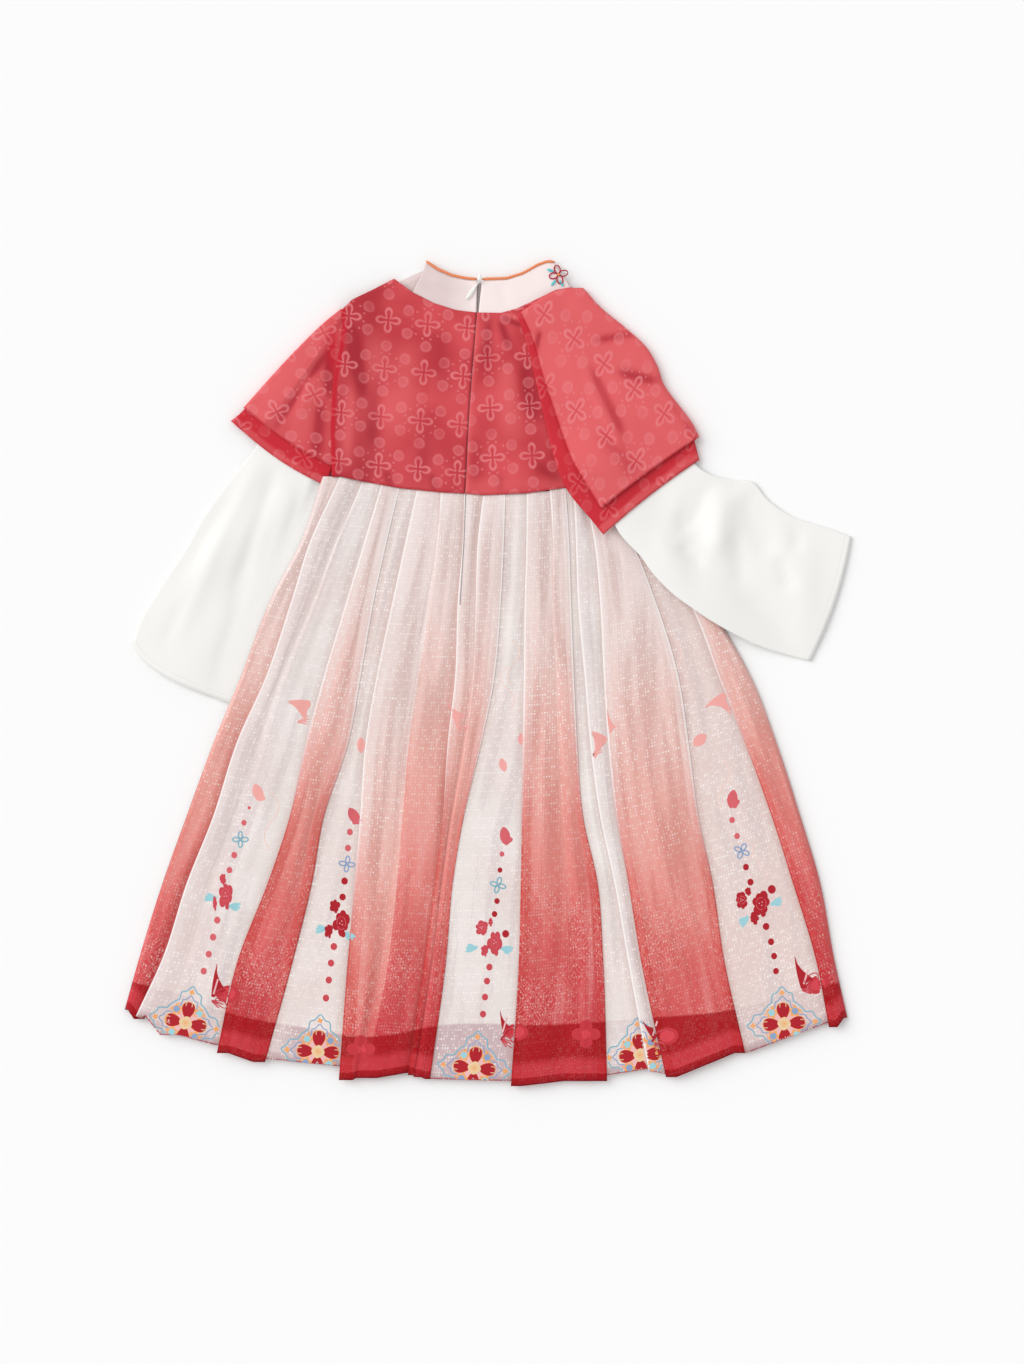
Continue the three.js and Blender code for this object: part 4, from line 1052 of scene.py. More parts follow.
# ------------------------------------------------------------------ collar
# A stand collar of plain cotton in palest pink, with rolled orange satin piping on its edge.
cotton, tree, shader = material("Cotton lawn", 0.85, 0.1, "#F3E2E0")
place = read("TexCoord", out="Object")
# painted shade: the collar is darker towards its left end
feed(shader.inputs["Base Color"], mixed(ramp(read("SeparateXYZ", place), -0.045, -0.008), "#E2CFCD", "#F9EAE8"))
grain = read("TexNoise", place, None, 1500.0, 2.0)
feed(shader.inputs["Normal"], read("Bump", 0.3, 0.2 / 1000, None, grain))
satin = material("Satin piping", 0.42, 0.2, "#EB8B5E")[0]
COLLAR_Z = 4.7
TOP_LEFT = [[426, 263], [438, 271], [452, 277], [466, 280], [477, 281]]
TOP_RIGHT = [[482, 281], [507, 280], [523, 275], [538, 266.5], [548, 263], [555, 264]]
# upper and lower edge, left and right end
COLLARS = dict(
    collar_back_left=[
        TOP_LEFT,
        [[412, 290.6], [434, 301.6], [456, 308.6], [476.4, 311.2]],
        [[426, 263], [423, 272], [412, 290.6]],
        [[477, 281], [476.4, 311.2]],
    ],
    collar_back_right=[
        TOP_RIGHT,
        [[478.4, 311.2], [501, 311.6], [517, 307.2], [538, 297.2], [556, 288.4], [571, 285.4]],
        [[482, 281], [478.4, 311.2]],
        [[555, 264], [564, 276], [571, 285.4]],
    ],
    collar_front=[
        [[428, 268], [440, 296], [462, 314], [488, 318], [514, 312], [536, 292], [553, 268]],
        [[397.4, 282]] + [[x, y - 1.6] for x, y in FRONT_NECK] + [[571.6, 289]],
        [[428, 268], [397.4, 282]],
        [[553, 268], [571.6, 289]],
    ],
)
COLLAR_CREASES = [
    (430, 278, 464, 290, 5, 1.0),
    (424, 284, 456, 302, 4, -1.0),
    (500, 284, 508, 308, 6, -0.7),
    (536, 274, 556, 286, 5, 0.6),
    (470, 286, 470, 308, 4, -0.6),
]
for name, edges in COLLARS.items():
    x, y = between(*edges, 40, 16)
    z = ON_TABLE + 0 * x
    if name != "collar_front":
        # its lower edge goes down into the neck seam, under the bodice
        v = np.linspace(0, 1, 16)[:, None]
        y = y + 3.2 * v**3
        z = COLLAR_Z + creases(x, y, COLLAR_CREASES) - 0.7 * smooth(0.7, 1, v)
    made = cloth(name + "_cloth", np.stack([x, y, z], -1), cotton, 0.6)
    stands_for(made, name)


def tube(name, points, look):
    """A smooth closed body on rings of mat points, one after another."""
    grid = row_frame(points[..., 0], points[..., 1], points[..., 2])
    n, m = grid.shape[:2]
    faces = [
        [i * m + j, i * m + (j + 1) % m, (i + 1) * m + (j + 1) % m, (i + 1) * m + j]
        for i in range(n - 1)
        for j in range(m)
    ]
    faces += [list(range(m))[::-1], [(n - 1) * m + j for j in range(m)]]
    mesh = bpy.data.meshes.new(name)
    mesh.from_pydata(grid.reshape(-1, 3).tolist(), [], faces)
    bm = bmesh.new()
    bm.from_mesh(mesh)
    bmesh.ops.recalc_face_normals(bm, faces=bm.faces)
    bm.to_mesh(mesh)
    bm.free()
    mesh.shade_smooth()
    mesh.materials.append(look)
    made = bpy.data.objects.new(name, mesh)
    bpy.context.scene.collection.objects.link(made)
    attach(made, "root")
    return made


def unit(vectors):
    return vectors / np.maximum(np.linalg.norm(vectors, axis=1, keepdims=True), 1e-9)


def cord_along(name, line, radius, look, sides=10):
    """A closed round cord along a line of mat points."""
    line = np.asarray(line, float)
    ahead = unit(np.gradient(line, axis=0))
    side = unit(np.cross(ahead, [0, 0, 1.0]))
    up = np.cross(side, ahead)
    ring = np.linspace(0, 2 * math.pi, sides, endpoint=False)[None, :, None]
    taper = np.ones((len(line), 1, 1))
    taper[0] = taper[-1] = 0.5
    out = side[:, None] * np.cos(ring) + up[:, None] * np.sin(ring)
    return tube(name, line[:, None] + radius * taper * out, look)


for name, edge in (("collar_piping_left", TOP_LEFT), ("collar_piping_right", TOP_RIGHT)):
    x, y = along(edge, np.linspace(0, 1, 28)).T
    made = cord_along(name + "_roll", np.column_stack([x, y - 2.0, 0 * x + COLLAR_Z]), 1.45, satin)
    stands_for(made, name)

# ------------------------------------------------------------------ zip
# A woven tape under the centre seam, a nylon coil that shows as a thin grey line between the two
# halves and ends in the skirt, and a moulded white slider with a drop-shaped pull.
tape_weave = material("Woven polyester tape", 0.8, 0.05, "#A59A97")[0]
coil_nylon = material("Nylon coil", 0.5, 0.0, "#A39A98")[0]
acetal = material("Moulded acetal", 0.35, 0.0, "#F1F0EC")[0]
ZIP_LINE = [[479.4, 283], [477.3, 312.4], [473, 365], [469, 419], [465.6, 493.6], [464, 540], [460, 604]]
HALF_TAPE = 7.3
zip_xy = along(ZIP_LINE, np.linspace(0, 1, 90))
x, y = zip_xy.T
lie = 3.0 + 1.75 * smooth(440, 494, y)
points = [np.column_stack([x + side * HALF_TAPE, y, lie]) for side in (-1, -0.4, 0, 0.4, 1)]
zip_tape = cloth("zip_tape_cloth", np.stack(points, 1), tape_weave, 0.5)
stands_for(zip_tape, "zip_tape")

# One node group sets small pieces in a row along a line: coil loops here, stitches further on
rows = bpy.data.node_groups.new("Row of pieces", "GeometryNodeTree")
for label, kind in (("Line", "Geometry"), ("Pitch", "Float"), ("Size", "Vector"), ("Look", "Material")):
    rows.interface.new_socket(label, in_out="INPUT", socket_type="NodeSocket" + kind)
rows.interface.new_socket("Pieces", in_out="OUTPUT", socket_type="NodeSocketGeometry")
source, result = rows.nodes.new("NodeGroupInput"), rows.nodes.new("NodeGroupOutput")
as_curve, spaced, bead, placed, real, looked = [
    rows.nodes.new("GeometryNode" + kind)
    for kind in (
        "MeshToCurve",
        "CurveToPoints",
        "MeshUVSphere",
        "InstanceOnPoints",
        "RealizeInstances",
        "SetMaterial",
    )
]
spaced.mode = "LENGTH"
for key, number in (("Segments", 6), ("Rings", 4), ("Radius", 0.5)):
    bead.inputs[key].default_value = number
for a, out, b, into in (
    (source, "Line", as_curve, "Mesh"),
    (as_curve, "Curve", spaced, "Curve"),
    (source, "Pitch", spaced, "Length"),
    (spaced, "Points", placed, "Points"),
    (spaced, "Rotation", placed, "Rotation"),
    (bead, "Mesh", placed, "Instance"),
    (source, "Size", placed, "Scale"),
    (placed, "Instances", real, "Geometry"),
    (real, "Geometry", looked, "Geometry"),
    (source, "Look", looked, "Material"),
    (looked, "Geometry", result, "Pieces"),
):
    rows.links.new(a.outputs[out], b.inputs[into])
sockets = {item.name: item.identifier for item in rows.interface.items_tree if item.in_out == "INPUT"}


def row_of_pieces(name, line, pitch, size, look):
    """Pieces of size (width, height, length) in mm at a pitch along a line of mat points."""
    x, y, z = np.transpose(line)
    mesh = bpy.data.meshes.new(name)
    mesh.from_pydata(row_frame(x, y, z).tolist(), [(i, i + 1) for i in range(len(line) - 1)], [])
    made = bpy.data.objects.new(name, mesh)
    bpy.context.scene.collection.objects.link(made)
    modifier = made.modifiers.new("Row", "NODES")
    modifier.node_group = rows
    modifier[sockets["Pitch"]] = pitch / 1000
    modifier[sockets["Size"]] = [part / 1000 for part in size]
    modifier[sockets["Look"]] = look
    bpy.context.view_layer.update()
    whole = bpy.data.meshes.new_from_object(made.evaluated_get(bpy.context.evaluated_depsgraph_get()))
    made.modifiers.remove(modifier)
    made.data = whole
    whole.name = name
    bpy.data.meshes.remove(mesh)
    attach(made, "root")
    return made


def surface_of(*objects):
    """A tree to find the height of objects' upper side with."""
    verts, faces = [], []
    for made in objects:
        start = len(verts)
        verts += [v.co.copy() for v in made.data.vertices]
        faces += [[start + i for i in p.vertices] for p in made.data.polygons]
    return BVHTree.FromPolygons(verts, faces)


def dropped(surface, x, y):
    """Row-frame point where a plumb line at a mat point meets a surface from above."""
    start = Vector([float(c) for c in row_frame(x, y, 60.0)])
    return surface.ray_cast(start, Vector((0, 0, -1)))[0]


def draped_line(surface, xy, lift):
    """Mat points of a line laid on a surface."""
    found = [(p, dropped(surface, *p)) for p in np.asarray(xy, float)]
    return [[p[0], p[1], hit.z * 1000 + lift] for p, hit in found if hit]


skirt_surface = surface_of(*skirt_backs)
coil_line = np.column_stack([x + 0.2, y, back_height(x, y) - 0.35])[8:]
coil_line = [p for p in coil_line.tolist() if p[1] < 492]
coil_line += draped_line(skirt_surface, [p for p in zip_xy if p[1] > 495], 0.1)
row_of_pieces("zip_coil", coil_line, 1.2, (1.3, 1.1, 1.1), coil_nylon)


def swept(name, line, half_wide, half_thick, look, sides=14):
    """A smooth closed body along a line of mat points, with its half width and half thickness."""
    x, y, z = np.transpose(line)[..., None]
    ahead = unit(np.gradient(np.asarray(line)[:, :2], axis=0))
    turns = np.linspace(0, 2 * math.pi, sides, endpoint=False)
    wide = np.broadcast_to(half_wide, len(line))[:, None] * np.cos(turns)
    thick = np.broadcast_to(half_thick, len(line))[:, None] * np.sin(turns)
    return tube(name, np.stack([x - ahead[:, 1:] * wide, y + ahead[:, :1] * wide, z + thick], -1), look)


t = np.linspace(0, 1, 14)
rounded = np.sin(math.pi * (0.04 + 0.92 * t)) ** 0.4
slider_line = np.column_stack([np.full(14, 479.7), 274.6 + 6.4 * t, np.full(14, 8.3)])
slider = swept("zip_slider_body", slider_line, 2.0 * rounded, 1.4 * rounded, acetal)
stands_for(slider, "zip_slider")
t = np.linspace(0, 1, 24)
pull_line = np.column_stack([479.6 - 13.4 * t, 281.0 + 18.0 * t, 6.9 - 0.2 * t])
pull_wide = (0.9 + 1.5 * smooth(0.1, 0.8, t)) * np.sin(math.pi * (0.03 + 0.94 * t)) ** 0.5
pull_thick = 0.8 * np.sin(math.pi * (0.05 + 0.9 * t)) ** 0.5
pull = swept("zip_pull_drop", pull_line, pull_wide, pull_thick, acetal)
stands_for(pull, "zip_pull")

# ------------------------------------------------------------------ stitches
# Lockstitch in matching thread: the cuffs' turned hems, the waist seam, the capes' hems.
pale_thread = material("White polyester thread", 0.6, 0.0, "#E4E4DF")[0]
red_thread = material("Red polyester thread", 0.6, 0.0, "#B02430")[0]
for name, made in sleeves.items():
    (c, d, *_), (a, b, *_, bow) = [[np.array(p, float) for p in row] for row in SLEEVES[name][-2:]]
    s = np.linspace(0.015, 0.985, 40)[:, None]
    ahead = (a + b - c - d) / np.linalg.norm(a + b - c - d)
    xy = a * (1 - s) + b * s + ahead * (bow * bowed(name, s) - 7)
    cuff = draped_line(surface_of(made), xy, 0.05)
    row_of_pieces(name + "_cuff_stitches", cuff, 3.0, (0.5, 0.35, 2.2), pale_thread)
for name, ends in (("bodice_back_left", (333, 463.5)), ("bodice_back_right", (468, 566))):
    xs = np.linspace(*ends, 60)
    surface = surface_of(bpy.data.objects[name + "_cloth"])
    waist = draped_line(surface, np.column_stack([xs, waist_y(xs) - 2.6]), 0.05)
    row_of_pieces(name + "_waist_stitches", waist, 3.0, (0.45, 0.3, 2.1), red_thread)
for name, made in capes.items():
    before, last = [[np.array(p, float) for p in row] for row in CAPES[name]["rows"][-2:]]
    s = np.linspace(0.03, 0.97, 50)[:, None]
    xy = last[0] * (1 - s) + last[2] * s + [0, CAPES[name]["hem"]] * np.sin(math.pi * s)
    inward = (before[0] + before[2] - last[0] - last[2]) / 2.0
    hem = draped_line(surface_of(made), xy + inward / np.linalg.norm(inward) * 1.6, 0.05)
    row_of_pieces(name + "_hem_stitches", hem, 2.6, (0.4, 0.3, 1.8), red_thread)

# ------------------------------------------------------------------ embroidered flower
# Satin stitch in rayon thread on the collar's right end: four outlined petals, an orange knot
# and three blue-green leaves.
FLOWER = (558.5, 274.5)
FLOWER_Z = 6.3
red_rayon, orange_rayon, teal_rayon = [
    material("Rayon thread, " + name, 0.4, 0.2, shade)[0]
    for name, shade in (("red", "#B3163A"), ("orange", "#F09050"), ("teal", "#5CC4CC"))
]


def turned(x, y, u, v, degrees):
    """Mat point u along and v across from another, seen from there at a turn."""
    turn = math.radians(degrees)
    across, down = u * math.cos(turn) - v * math.sin(turn), u * math.sin(turn) + v * math.cos(turn)
    return x + across, y + down


t = np.linspace(0, 2 * math.pi, 20)
for k in range(4):
    x, y = turned(*FLOWER, 5.2 + 4.3 * np.cos(t), 2.9 * np.sin(t), k * 90 - 14)
    petal = np.column_stack([x, y, 0 * x + FLOWER_Z])
    cord_along(f"collar_flower_petal_{k}", petal, 0.65, red_rayon, 6)
x = FLOWER[0] + np.linspace(-1.7, 1.7, 8)
knot = np.column_stack([x, 0 * x + FLOWER[1], 0 * x + FLOWER_Z])
swept("collar_flower_knot", knot, 1.6 * np.sin(np.linspace(0.2, 2.94, 8)), 0.9, orange_rayon)
s = np.linspace(-1, 1, 10)
for k, (x, y, turn) in enumerate(((550.5, 270.5, 200), (553.5, 283.0, 130), (561.5, 283.5, 60))):
    line = np.column_stack([*turned(x, y, 3.4 * s, 0, turn), 0 * s + FLOWER_Z - 0.3])
    swept(f"collar_flower_leaf_{k}", line, 1.3 * np.sqrt(1 - 0.96 * s**2), 0.5, teal_rayon)

# ------------------------------------------------------------------ the skirt's print
# Pigment print of traditional motifs on the white bands: a four-petal medallion in an ogee at
# each hem, a string of beads with blooms above it, and butterflies. Every shape is drawn from
# ovals and arcs, laid on the cloth and cut off where a fold hides the rest.
INKS = dict(
    red="#B01826",
    rose="#CB4651",
    coral="#D8626A",
    salmon="#F1A8A2",
    glow="#D9434E",
    ember="#C5323D",
    halo="#EDBABB",
    cream="#EBCBA0",
    orange="#F0A867",
    teal="#7FB4C4",
    leaf="#9CCFD8",
    blue="#8BA3C6",
    peach="#F3D3C8",
)
# two corners of a face further apart in height than this lie on two sides of a fold
FOLD_STEP = 0.0011
printed = {"left": {}, "right": {}}
# the folds on both sides of the band that a motif is kept to
band_of = None


def lay(points, faces, ink, lift):
    """Lays mat points on the skirt and keeps the faces that don't span a fold."""
    x, y = np.mean(points, 0)
    half = "left" if x < curve([*ROW_Y, 1073], FOLDS[CENTRE_FOLD]["x"], y) else "right"
    verts, kept = printed[half].setdefault(ink, ([], []))
    inside = np.ones(len(points), bool)
    if band_of:
        first, last = [
            curve([*ROW_Y, FOLDS[i]["hem"][0]], FOLDS[i]["x"], points[:, 1]) for i in band_of
        ]
        inside = (points[:, 0] > first) & (points[:, 0] < last)
    hits = [dropped(skirt_surface, *p) if within else None for p, within in zip(points, inside)]
    index = {}
    for face in faces:
        corners = [hits[i] for i in face]
        if None in corners or max(c.z for c in corners) - min(c.z for c in corners) > FOLD_STEP:
            continue
        for i in face:
            if i not in index:
                index[i] = len(verts)
                verts.append(hits[i] + Vector((0, 0, lift / 1000)))
        kept.append([index[i] for i in face])


def shape(x, y, outline, ink, lift=0.12, turn=0.0, rings=3):
    """A filled shape around a mat point. outline is its edge, seen from that point."""
    turn = math.radians(turn)
    cos, sin = math.cos(turn), math.sin(turn)
    edge = np.asarray(outline) @ np.array([[cos, sin], [-sin, cos]])
    n = len(edge)
    points = np.concatenate([[[0, 0]]] + [edge * k / rings for k in range(1, rings + 1)]) + [x, y]
    faces = [[0, 1 + i, 1 + (i + 1) % n] for i in range(n)]
    for a in range(1, 1 + (rings - 1) * n, n):
        faces += [[a + i, a + n + i, a + n + (i + 1) % n, a + (i + 1) % n] for i in range(n)]
    lay(points, faces, ink, lift)


def stroke(points, wide, ink, lift=0.12):
    """A line of a given width through mat points."""
    points = np.asarray(points, float)
    ahead = unit(np.gradient(points, axis=0))
    off = np.column_stack([-ahead[:, 1], ahead[:, 0]]) * wide / 2
    n = len(points)
    faces = [[i, i + 1, n + i + 1, n + i] for i in range(n - 1)]
    lay(np.concatenate([points - off, points + off]), faces, ink, lift)


def closed_turn(n):
    """n angles round a circle, the first not repeated."""
    return np.linspace(0, 2 * math.pi, n, endpoint=False)


def oval(a, b, n=16):
    t = closed_turn(n)
    return np.column_stack([a * np.cos(t), b * np.sin(t)])


def leaf(a, b, n=18):
    t = closed_turn(n)
    return np.column_stack([a * np.cos(t), b * np.sin(t) * np.abs(np.sin(t)) ** 0.5])


def ruffled(r, lobes, depth, phase=0.0, n=36):
    t = closed_turn(n)
    return (r * (1 + depth * np.sin(lobes * t + phase)))[:, None] * np.column_stack([np.cos(t), np.sin(t)])


def fan(long, wide):
    """A fore wing: a bowed front edge from its tip, a rounded far corner and a hollow back edge,
    seen from a point inside it."""
    t = np.linspace(0, 1, 9)[:-1]
    front = np.column_stack([long * t, -0.10 * wide * np.sin(math.pi * t)])
    far_end = np.column_stack([long * (1 + 0.07 * np.sin(math.pi * t) - 0.12 * t), wide * 0.62 * t])
    root = np.column_stack([long * (0.88 - 0.10 * t), wide * (0.62 + 0.78 * t)])
    back = np.column_stack([0.78 * long * (1 - t), wide * 1.4 * (1 - t) ** 2.1])
    return np.concatenate([front, far_end, root, back]) - [0.66 * long, 0.36 * wide]


def petal_loop(x, y, out, a, b, turn, wide, ink, lift=0.14):
    """An outlined petal, its middle out from a mat point."""
    t = np.linspace(0, 2 * math.pi, 18)
    stroke(np.column_stack(turned(x, y, out + a * np.cos(t), b * np.sin(t), turn)), wide, ink, lift)


def bloom(x, y, wide, high, turn, ink):
    """A full bloom: rounded petals grown together, with petal lines and stamens on a large one."""
    a = math.radians(turn)
    for k in range(7):
        out = 0.0 if k == 0 else 0.3 + 0.04 * math.sin(2.3 * k + turn)
        side = a + 1.047 * k + 0.25 * math.sin(k + turn)
        size = 0.34 if k == 0 else 0.2 + 0.03 * math.cos(1.9 * k + turn)
        middle = (x + out * wide * math.cos(side), y + out * high * math.sin(side))
        shape(*middle, oval(size * wide, size * high, 14), ink, 0.12 + 0.004 * k)
    shape(x + 0.12 * wide, y + 0.43 * high, oval(0.14 * wide, 0.13 * high, 10), ink, 0.15, rings=2)
    if wide < 12:
        return
    for k in range(3):
        t = np.linspace(-0.9, 0.9, 8) + 2.1 * k + a
        arc = np.column_stack([x + 0.27 * wide * np.cos(t), y + 0.25 * high * np.sin(t)])
        stroke(arc, 0.6, "coral", 0.18)
        stamen = (x + 0.1 * wide * math.cos(t[0]), y + 0.08 * high * math.sin(t[0]))
        shape(*stamen, oval(0.6, 0.6, 6), "halo", 0.19, rings=1)


def ogee(x, y, r, turn, wide, ink):
    """A barbed line round a mat point: four pointed tips with a shoulder on both sides."""
    t = np.linspace(0, 2 * math.pi, 145)
    off = np.abs((np.degrees(t) + 45) % 90 - 45)
    far = r * (0.65 + 0.2 * smooth(28, 17, off) + 0.15 * np.exp(-((off / 6) ** 2)))
    a = t + math.radians(turn)
    stroke(np.column_stack([x + far * np.cos(a), y + far * np.sin(a)]), wide, ink, 0.10)


def medallion(x, y, turn):
    """Four broad petals round a cream heart, inside a double ogee with small flowers."""

    def at(r, degrees):
        return turned(x, y, r, 0, turn + degrees)

    ogee(x, y, 37.0, turn, 1.2, "teal")
    ogee(x, y, 27.5, turn, 1.0, "blue")
    shape(x, y, ruffled(17.5, 4, 0.10, math.radians(90)), "halo", 0.12, turn, rings=4)
    t = closed_turn(26)
    petal = np.column_stack([8.2 * np.cos(t), 7.3 * np.sin(t) * (0.84 + 0.26 * np.cos(t))])
    for k in range(4):
        way = 90 * k
        shape(*at(31.0, way), ruffled(2.3, 4, 0.3, k), "orange", 0.13, rings=2)
        shape(*at(16.2, way + 45), ruffled(5.0, 5, 0.2, k), "orange", 0.13, rings=2)
        shape(*at(16.6, way + 45), ruffled(3.3, 6, 0.1, k), "blue" if k % 2 else "leaf", 0.15, rings=2)
        for side in (-1, 1):
            stroke([at(20.5, way + 45 + side * s) for s in (9, 15, 20)], 1.0, "orange", 0.13)
        shape(*at(12.6, way), petal * 1.07, "orange", 0.14, turn + way)
        shape(*at(12.6, way), petal, "red", 0.17, turn + way)
        for side in (-1, 1):
            line = [at(r, way + side * s) for r, s in ((20.2, 7), (18.4, 10), (16.8, 10))]
            stroke(line, 0.7, "cream", 0.20)
    shape(x, y, ruffled(6.3, 4, 0.07, math.radians(45)), "cream", 0.22, turn)
    t = np.linspace(0, 2 * math.pi, 17)
    stroke(np.column_stack([x + 2.7 * np.cos(t), y + 2.7 * np.sin(t)]), 0.6, "orange", 0.25)
    shape(x, y, ruffled(1.3, 4, 0.2), "orange", 0.25, rings=1)


# What lies on each white band, from the mat's left: beads as x, y and radius, a quatrefoil as
# x and y, blooms as x, y, width, height and turn, leaves as x, y and turn, a bud as x, y, turn and
# ink, and a medallion as x, y and turn, kept between two folds
STRINGS = [
    dict(
        beads=[
            (249.3, 807.7, 1.6), (244, 822.7, 2.6), (234.3, 855, 3), (229.6, 870, 2.9),
            (217.3, 920, 3.2), (213.2, 937, 3.2), (208.8, 954, 3.1), (203.8, 971, 3.1),
        ],
        quatrefoil=(240.5, 839.4),
        blooms=[(225.5, 895, 14, 26, 80), (223, 878.5, 6, 12, 20), (215, 903, 4.5, 14, 70)],
        leaves=[(213, 898, 200), (232, 906, 20)],
        bud=(258, 792.5, 70, "salmon"),
        medallion=(185.7, 1022.7, -78),
        folds=(0, 2),
    ),
    dict(
        beads=[
            (349.9, 832, 3), (348, 848, 3), (344.6, 881, 3.3), (342.6, 897, 3.2),
            (333.8, 946.5, 3.3), (331, 963, 3.2), (328.8, 980, 3.2), (326, 998, 3.2),
        ],
        quatrefoil=(347, 864),
        blooms=[(341.3, 923, 16.5, 26, 100), (334.7, 905.5, 10, 14, 40), (328.5, 930.5, 8.5, 14, 80)],
        leaves=[(324, 929, 190), (347, 934, 50)],
        bud=(354, 816, 60, "coral"),
        medallion=(318, 1051.5, 4),
        folds=(3, 4),
    ),
    dict(
        beads=[
            (502, 854, 2.4), (500, 870, 2.4), (497, 901, 2.7), (494.5, 914, 2.8), (489.4, 967, 3.1),
            (487, 981, 3.1), (485, 997, 3.1), (483, 1014, 3.1), (505.6, 933.8, 3.5),
        ],
        quatrefoil=(498, 885),
        blooms=[
            (494.6, 942, 14, 25, 60), (481.5, 927.5, 14, 14, 10),
            (490.5, 922, 5, 8, 30), (484.5, 950, 7.5, 12, 80),
        ],
        leaves=[(474, 948, 190), (504, 948.5, 30)],
        bud=(505, 836, 80, "coral"),
        medallion=(474.3, 1067.8, 6),
        folds=(8, 9),
    ),
    dict(
        beads=[
            (732, 820, 2.8), (737, 836, 2.8), (745.9, 867, 3), (750.4, 882, 3.1), (766, 926.4, 3.3),
            (771, 941.7, 3.1), (774, 956, 3), (775.9, 971, 2.9), (771.7, 889.3, 4),
        ],
        quatrefoil=(741.8, 851),
        blooms=[
            (761, 903.5, 18.5, 24, 120), (741.5, 900, 13, 16, 50),
            (748, 891, 6, 9, 20), (754.5, 918, 9.5, 12, 70),
        ],
        leaves=[(774, 903, -5), (746, 919, 150)],
        bud=(732.2, 799, 100, "coral"),
        medallion=(784, 1023.5, -4),
        folds=(14, 15),
    ),
]
for k, string in enumerate(STRINGS):
    for x, y, r in string["beads"]:
        lower = "red" if y < 943 or k == 3 else "rose"
        shape(x, y, oval(r, r * 1.1, 14), "coral" if y < 860 or k == 0 else lower, rings=2)
    for side in range(4):
        ink = "blue" if k in (1, 3) else "teal"
        petal_loop(*string["quatrefoil"], 4.4, 3.5, 2.1, 90 * side + 8 * k, 1.3, ink)
    for x, y, turn in string["leaves"]:
        for j, spread in enumerate((-34, -8, 20)):
            middle = turned(x, y, 2.5, 0, turn + spread)
            shape(*middle, leaf(7.0 - j, 2.4), "leaf", 0.10 + 0.004 * j, turn + spread)
    for numbers in string["blooms"]:
        bloom(*numbers, "rose" if k in (0, 2) else "red")
    x, y, turn, ink = string["bud"]
    shape(x, y, leaf(9.5, 5.2), ink, turn=turn)
    shape(x + 2.5, y + 4, ruffled(4.4, 3, 0.2, k), ink, 0.13)
    band_of = string["folds"]
    medallion(*string["medallion"])
    band_of = None
# one more medallion is partly hidden by the fold to its right
band_of = (11, 13)
medallion(640, 1055, -5)
band_of = None
# butterflies: tip of the fore wing, its turn, length, width and ink, the hind wing's root and turn
BUTTERFLIES = [
    (284.0, 702, -3, 26, 15, "salmon", 296.5, 722, -14),
    (588.5, 731, 20, 20, 17, "salmon", 592, 756, -48),
    (607, 709, 84, 24, -5, "salmon", None, None, 0),
    (704.3, 708, -40, 24, 14, "salmon", 722, 707, 10),
    (447, 700, 70, 26, -9, "salmon", 455, 724, 30),
    (217.3, 962.5, 100, 34, -10, "red", 211, 1000, 20),
    (794.3, 955, 79, 34, -10, "red", 801, 990, -5),
    (642, 1020, 60, 22, -8, "red", 650, 1042, 20),
    (500, 1010, 82, 26, -7, "red", 500, 1038, 30),
]
for x, y, turn, long, wide, ink, hind_x, hind_y, hind_turn in BUTTERFLIES:
    middle = turned(x, y, 0.66 * long, 0.36 * wide, turn)
    shape(*middle, fan(long, wide), ink, 0.12, turn, rings=4)
    if hind_x is None:
        continue
    near = turned(x, y, 0.8 * long, 1.3 * wide, turn)
    stroke([near, (hind_x + 1.5, hind_y)], 2.0, ink, 0.125)
    for k in range(4):
        reach = (1.0, 5.0, 9.0, 14.0 - k)
        line = [turned(hind_x, hind_y, r, 0, hind_turn - 14 + 13 * k) for r in reach]
        stroke(line, 1.3 if k % 2 else 0.9, "rose" if ink == "red" else ink, 0.13)
    if ink == "red":
        vein = [(hind_x + 2 + 0.3 * s, hind_y - 4 - s) for s in (2.0, 7.0, 12.0, 17.0)]
        stroke(vein, 1.6, "halo", 0.15)
        petal_loop(hind_x + 4, hind_y - 2, 8.0, 7.0, 3.0, hind_turn + 20, 0.9, "rose")
        petal_loop(hind_x + 3, hind_y - 5, 9.5, 8.0, 4.4, hind_turn - 34, 1.0, "rose")
        for r, tone in ((10.0, "ember"), (6.5, "glow")):
            spot = oval(r * 1.15, r * 0.85, 20)
            shape(hind_x + 17, hind_y - 6, spot, tone, 0.11 + 0.002 * (10 - r), hind_turn - 30)
# loose petals
for x, y, a, b, turn in (
    (361, 745, 8, 4, 90),
    (503, 765, 7, 3.8, 75),
    (521, 739, 6, 3, 90),
    (699.7, 740, 8.4, 5.4, -40),
):
    shape(x, y, leaf(a, b), "salmon", turn=turn)
# medallions of the layer below show faintly through the red
for x, y in ((361, 1049), (586, 1034)):
    for side in range(4):
        middle = (x + 8 * math.cos(1.57 * side), y + 8 * math.sin(1.57 * side))
        shape(*middle, oval(6.6, 6.0, 14), "ember", 0.12 + 0.003 * side)
    shape(x, y, ruffled(4.6, 4, 0.1), "glow", 0.14, rings=2)
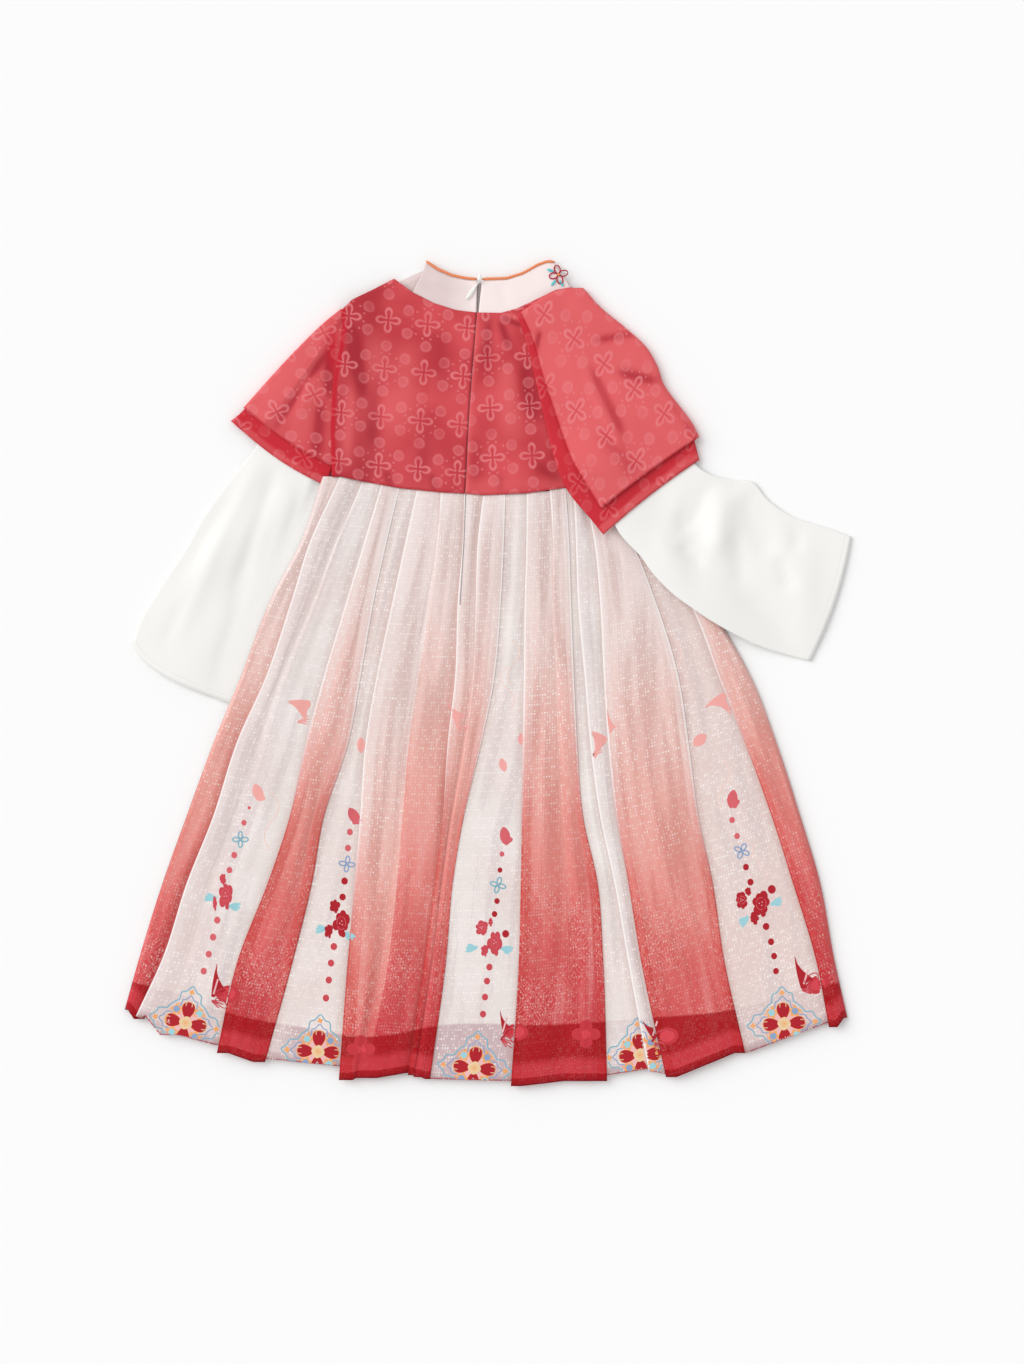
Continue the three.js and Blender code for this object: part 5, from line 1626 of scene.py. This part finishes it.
# faint trailing lines, each with its length and sway
s = np.linspace(0, 1, 16)
for x, y, long, sway in (
    (512, 640, 46, 7),
    (506, 668, 40, -6),
    (608, 660, 50, 6),
    (676, 640, 50, 5),
    (270, 790, 60, 8),
    (722, 760, 50, 7),
    (758, 840, 44, -6),
):
    line = np.column_stack([x + sway * np.sin(6 * s) + 3 * s, y + long * s])
    stroke(line, 0.9, "peach", 0.08)
print_inks = {name: material("Pigment print, " + name, 0.75, 0.0, shade)[0] for name, shade in INKS.items()}
for half, inks in printed.items():
    bm = bmesh.new()
    mesh = bpy.data.meshes.new(f"skirt_print_{half}")
    for number, (ink, (verts, faces)) in enumerate(inks.items()):
        mesh.materials.append(print_inks[ink])
        made = [bm.verts.new(v) for v in verts]
        for face in faces:
            bm.faces.new([made[i] for i in face]).material_index = number
    bmesh.ops.recalc_face_normals(bm, faces=bm.faces)
    for face in bm.faces:
        if face.normal.z < 0:
            face.normal_flip()
    bmesh.ops.solidify(bm, geom=bm.faces[:], thickness=0.00015)
    bm.to_mesh(mesh)
    bm.free()
    made = bpy.data.objects.new(mesh.name, mesh)
    bpy.context.scene.collection.objects.link(made)
    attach(made, "root")

# ------------------------------------------------------------------ the cut of the cloth
# Each sheet with the width and length that it is cut to, all round on a tube, the area of its cut
# in square metres, how it lies, what it lies on and the pieces on it.
FLOWER_PIECES = [f"collar_flower_petal_{k}" for k in range(4)] + ["collar_flower_knot"]
FLOWER_PIECES += [f"collar_flower_leaf_{k}" for k in range(3)]
ZIP_PIECES = ["zip_coil", "zip_slider_body", "zip_pull_drop"]
CUTS = [
    ("skirt_front", (0.722, 0.595), 0.315, "laid", None, []),
    ("skirt_lining", (1.40, 0.555), 0.570, "laid", "skirt_front", []),
    ("skirt_back_left", (0.43, 0.61), 0.190, "folded", "skirt_lining", ["skirt_print_left"]),
    ("skirt_back_right", (0.57, 0.61), 0.250, "folded", "skirt_lining", ["skirt_print_right"]),
    ("sleeve_left", (0.30, 0.33), 0.075, "laid", None, ["sleeve_left_cuff_stitches"]),
    ("sleeve_right", (0.29, 0.32), 0.076, "laid", "skirt_back_right", ["sleeve_right_cuff_stitches"]),
    ("bodice_front", (0.258, 0.212), 0.043, "laid", None, []),
    ("bodice_back_left", (0.146, 0.216), 0.026, "laid", "bodice_front", ["bodice_back_left_waist_stitches"]),
    (
        "bodice_back_right",
        (0.134, 0.209),
        0.024,
        "laid",
        "bodice_front",
        ["bodice_back_right_waist_stitches"],
    ),
    ("cape_left_under", (0.15, 0.19), 0.018, "folded", "sleeve_left", ["cape_left_under_hem_stitches"]),
    ("cape_left_upper", (0.14, 0.17), 0.0156, "folded", "cape_left_under", ["cape_left_upper_hem_stitches"]),
    ("cape_right_under", (0.20, 0.25), 0.035, "folded", "sleeve_right", ["cape_right_under_hem_stitches"]),
    (
        "cape_right_upper",
        (0.19, 0.23),
        0.030,
        "folded",
        "cape_right_under",
        ["cape_right_upper_hem_stitches"],
    ),
    ("collar_front", (0.174, 0.046), 0.0058, "laid", None, []),
    ("collar_back_left", (0.066, 0.036), 0.0020, "laid", "bodice_back_left", ["collar_piping_left_roll"]),
    (
        "collar_back_right",
        (0.094, 0.034),
        0.0028,
        "laid",
        "bodice_back_right",
        ["collar_piping_right_roll"] + FLOWER_PIECES,
    ),
    ("zip_tape", (0.0146, 0.322), None, "laid", "bodice_front", ZIP_PIECES),
]
for name, flat, area, held, below, with_it in CUTS:
    made = bpy.data.objects[name + "_cloth"]

# ------------------------------------------------------------------ camera, floor and light
# The dress is seen from straight above, lying on a plain pale surface in soft studio light.
# the picture's middle on the mat, and the length in metres that it covers at the height where
# most of the dress lies
PICTURE_MIDDLE = (512, 682)
PICTURE_LENGTH, PICTURE_HEIGHT = 1.364, 0.006
GROUND_SIZE, GROUND_Z = 8, -0.0006
target = row_frame(*PICTURE_MIDDLE, 0)
lens = bpy.data.cameras.new("Camera")
lens.lens = 100
lens.sensor_width = 36
lens.clip_end = 20
camera = bpy.data.objects.new("Camera", lens)
distance = PICTURE_LENGTH * lens.lens / lens.sensor_width
camera.location = (target[0], target[1], distance + PICTURE_HEIGHT)
bpy.context.scene.collection.objects.link(camera)
bpy.context.scene.camera = camera
bpy.ops.mesh.primitive_plane_add(size=GROUND_SIZE, location=(0, 0, GROUND_Z))
floor = bpy.context.object
floor.name = "Floor"
floor.data.materials.append(material("Paper", 0.9, base="#FBFBFB")[0])
lamp = bpy.data.lights.new("Key", "SUN")
lamp.energy = 1.6
lamp.angle = math.radians(52)
key = bpy.data.objects.new("Key", lamp)
key.rotation_euler = Vector((0.74, -0.40, -0.68)).to_track_quat("-Z", "Y").to_euler()
bpy.context.scene.collection.objects.link(key)
world = bpy.data.worlds.new("World")
world.use_nodes = True
world.node_tree.nodes["Background"].inputs[0].default_value = (1, 1, 1, 1)
world.node_tree.nodes["Background"].inputs[1].default_value = 0.69
bpy.context.scene.world = world
bpy.context.scene.view_settings.view_transform = "Standard"
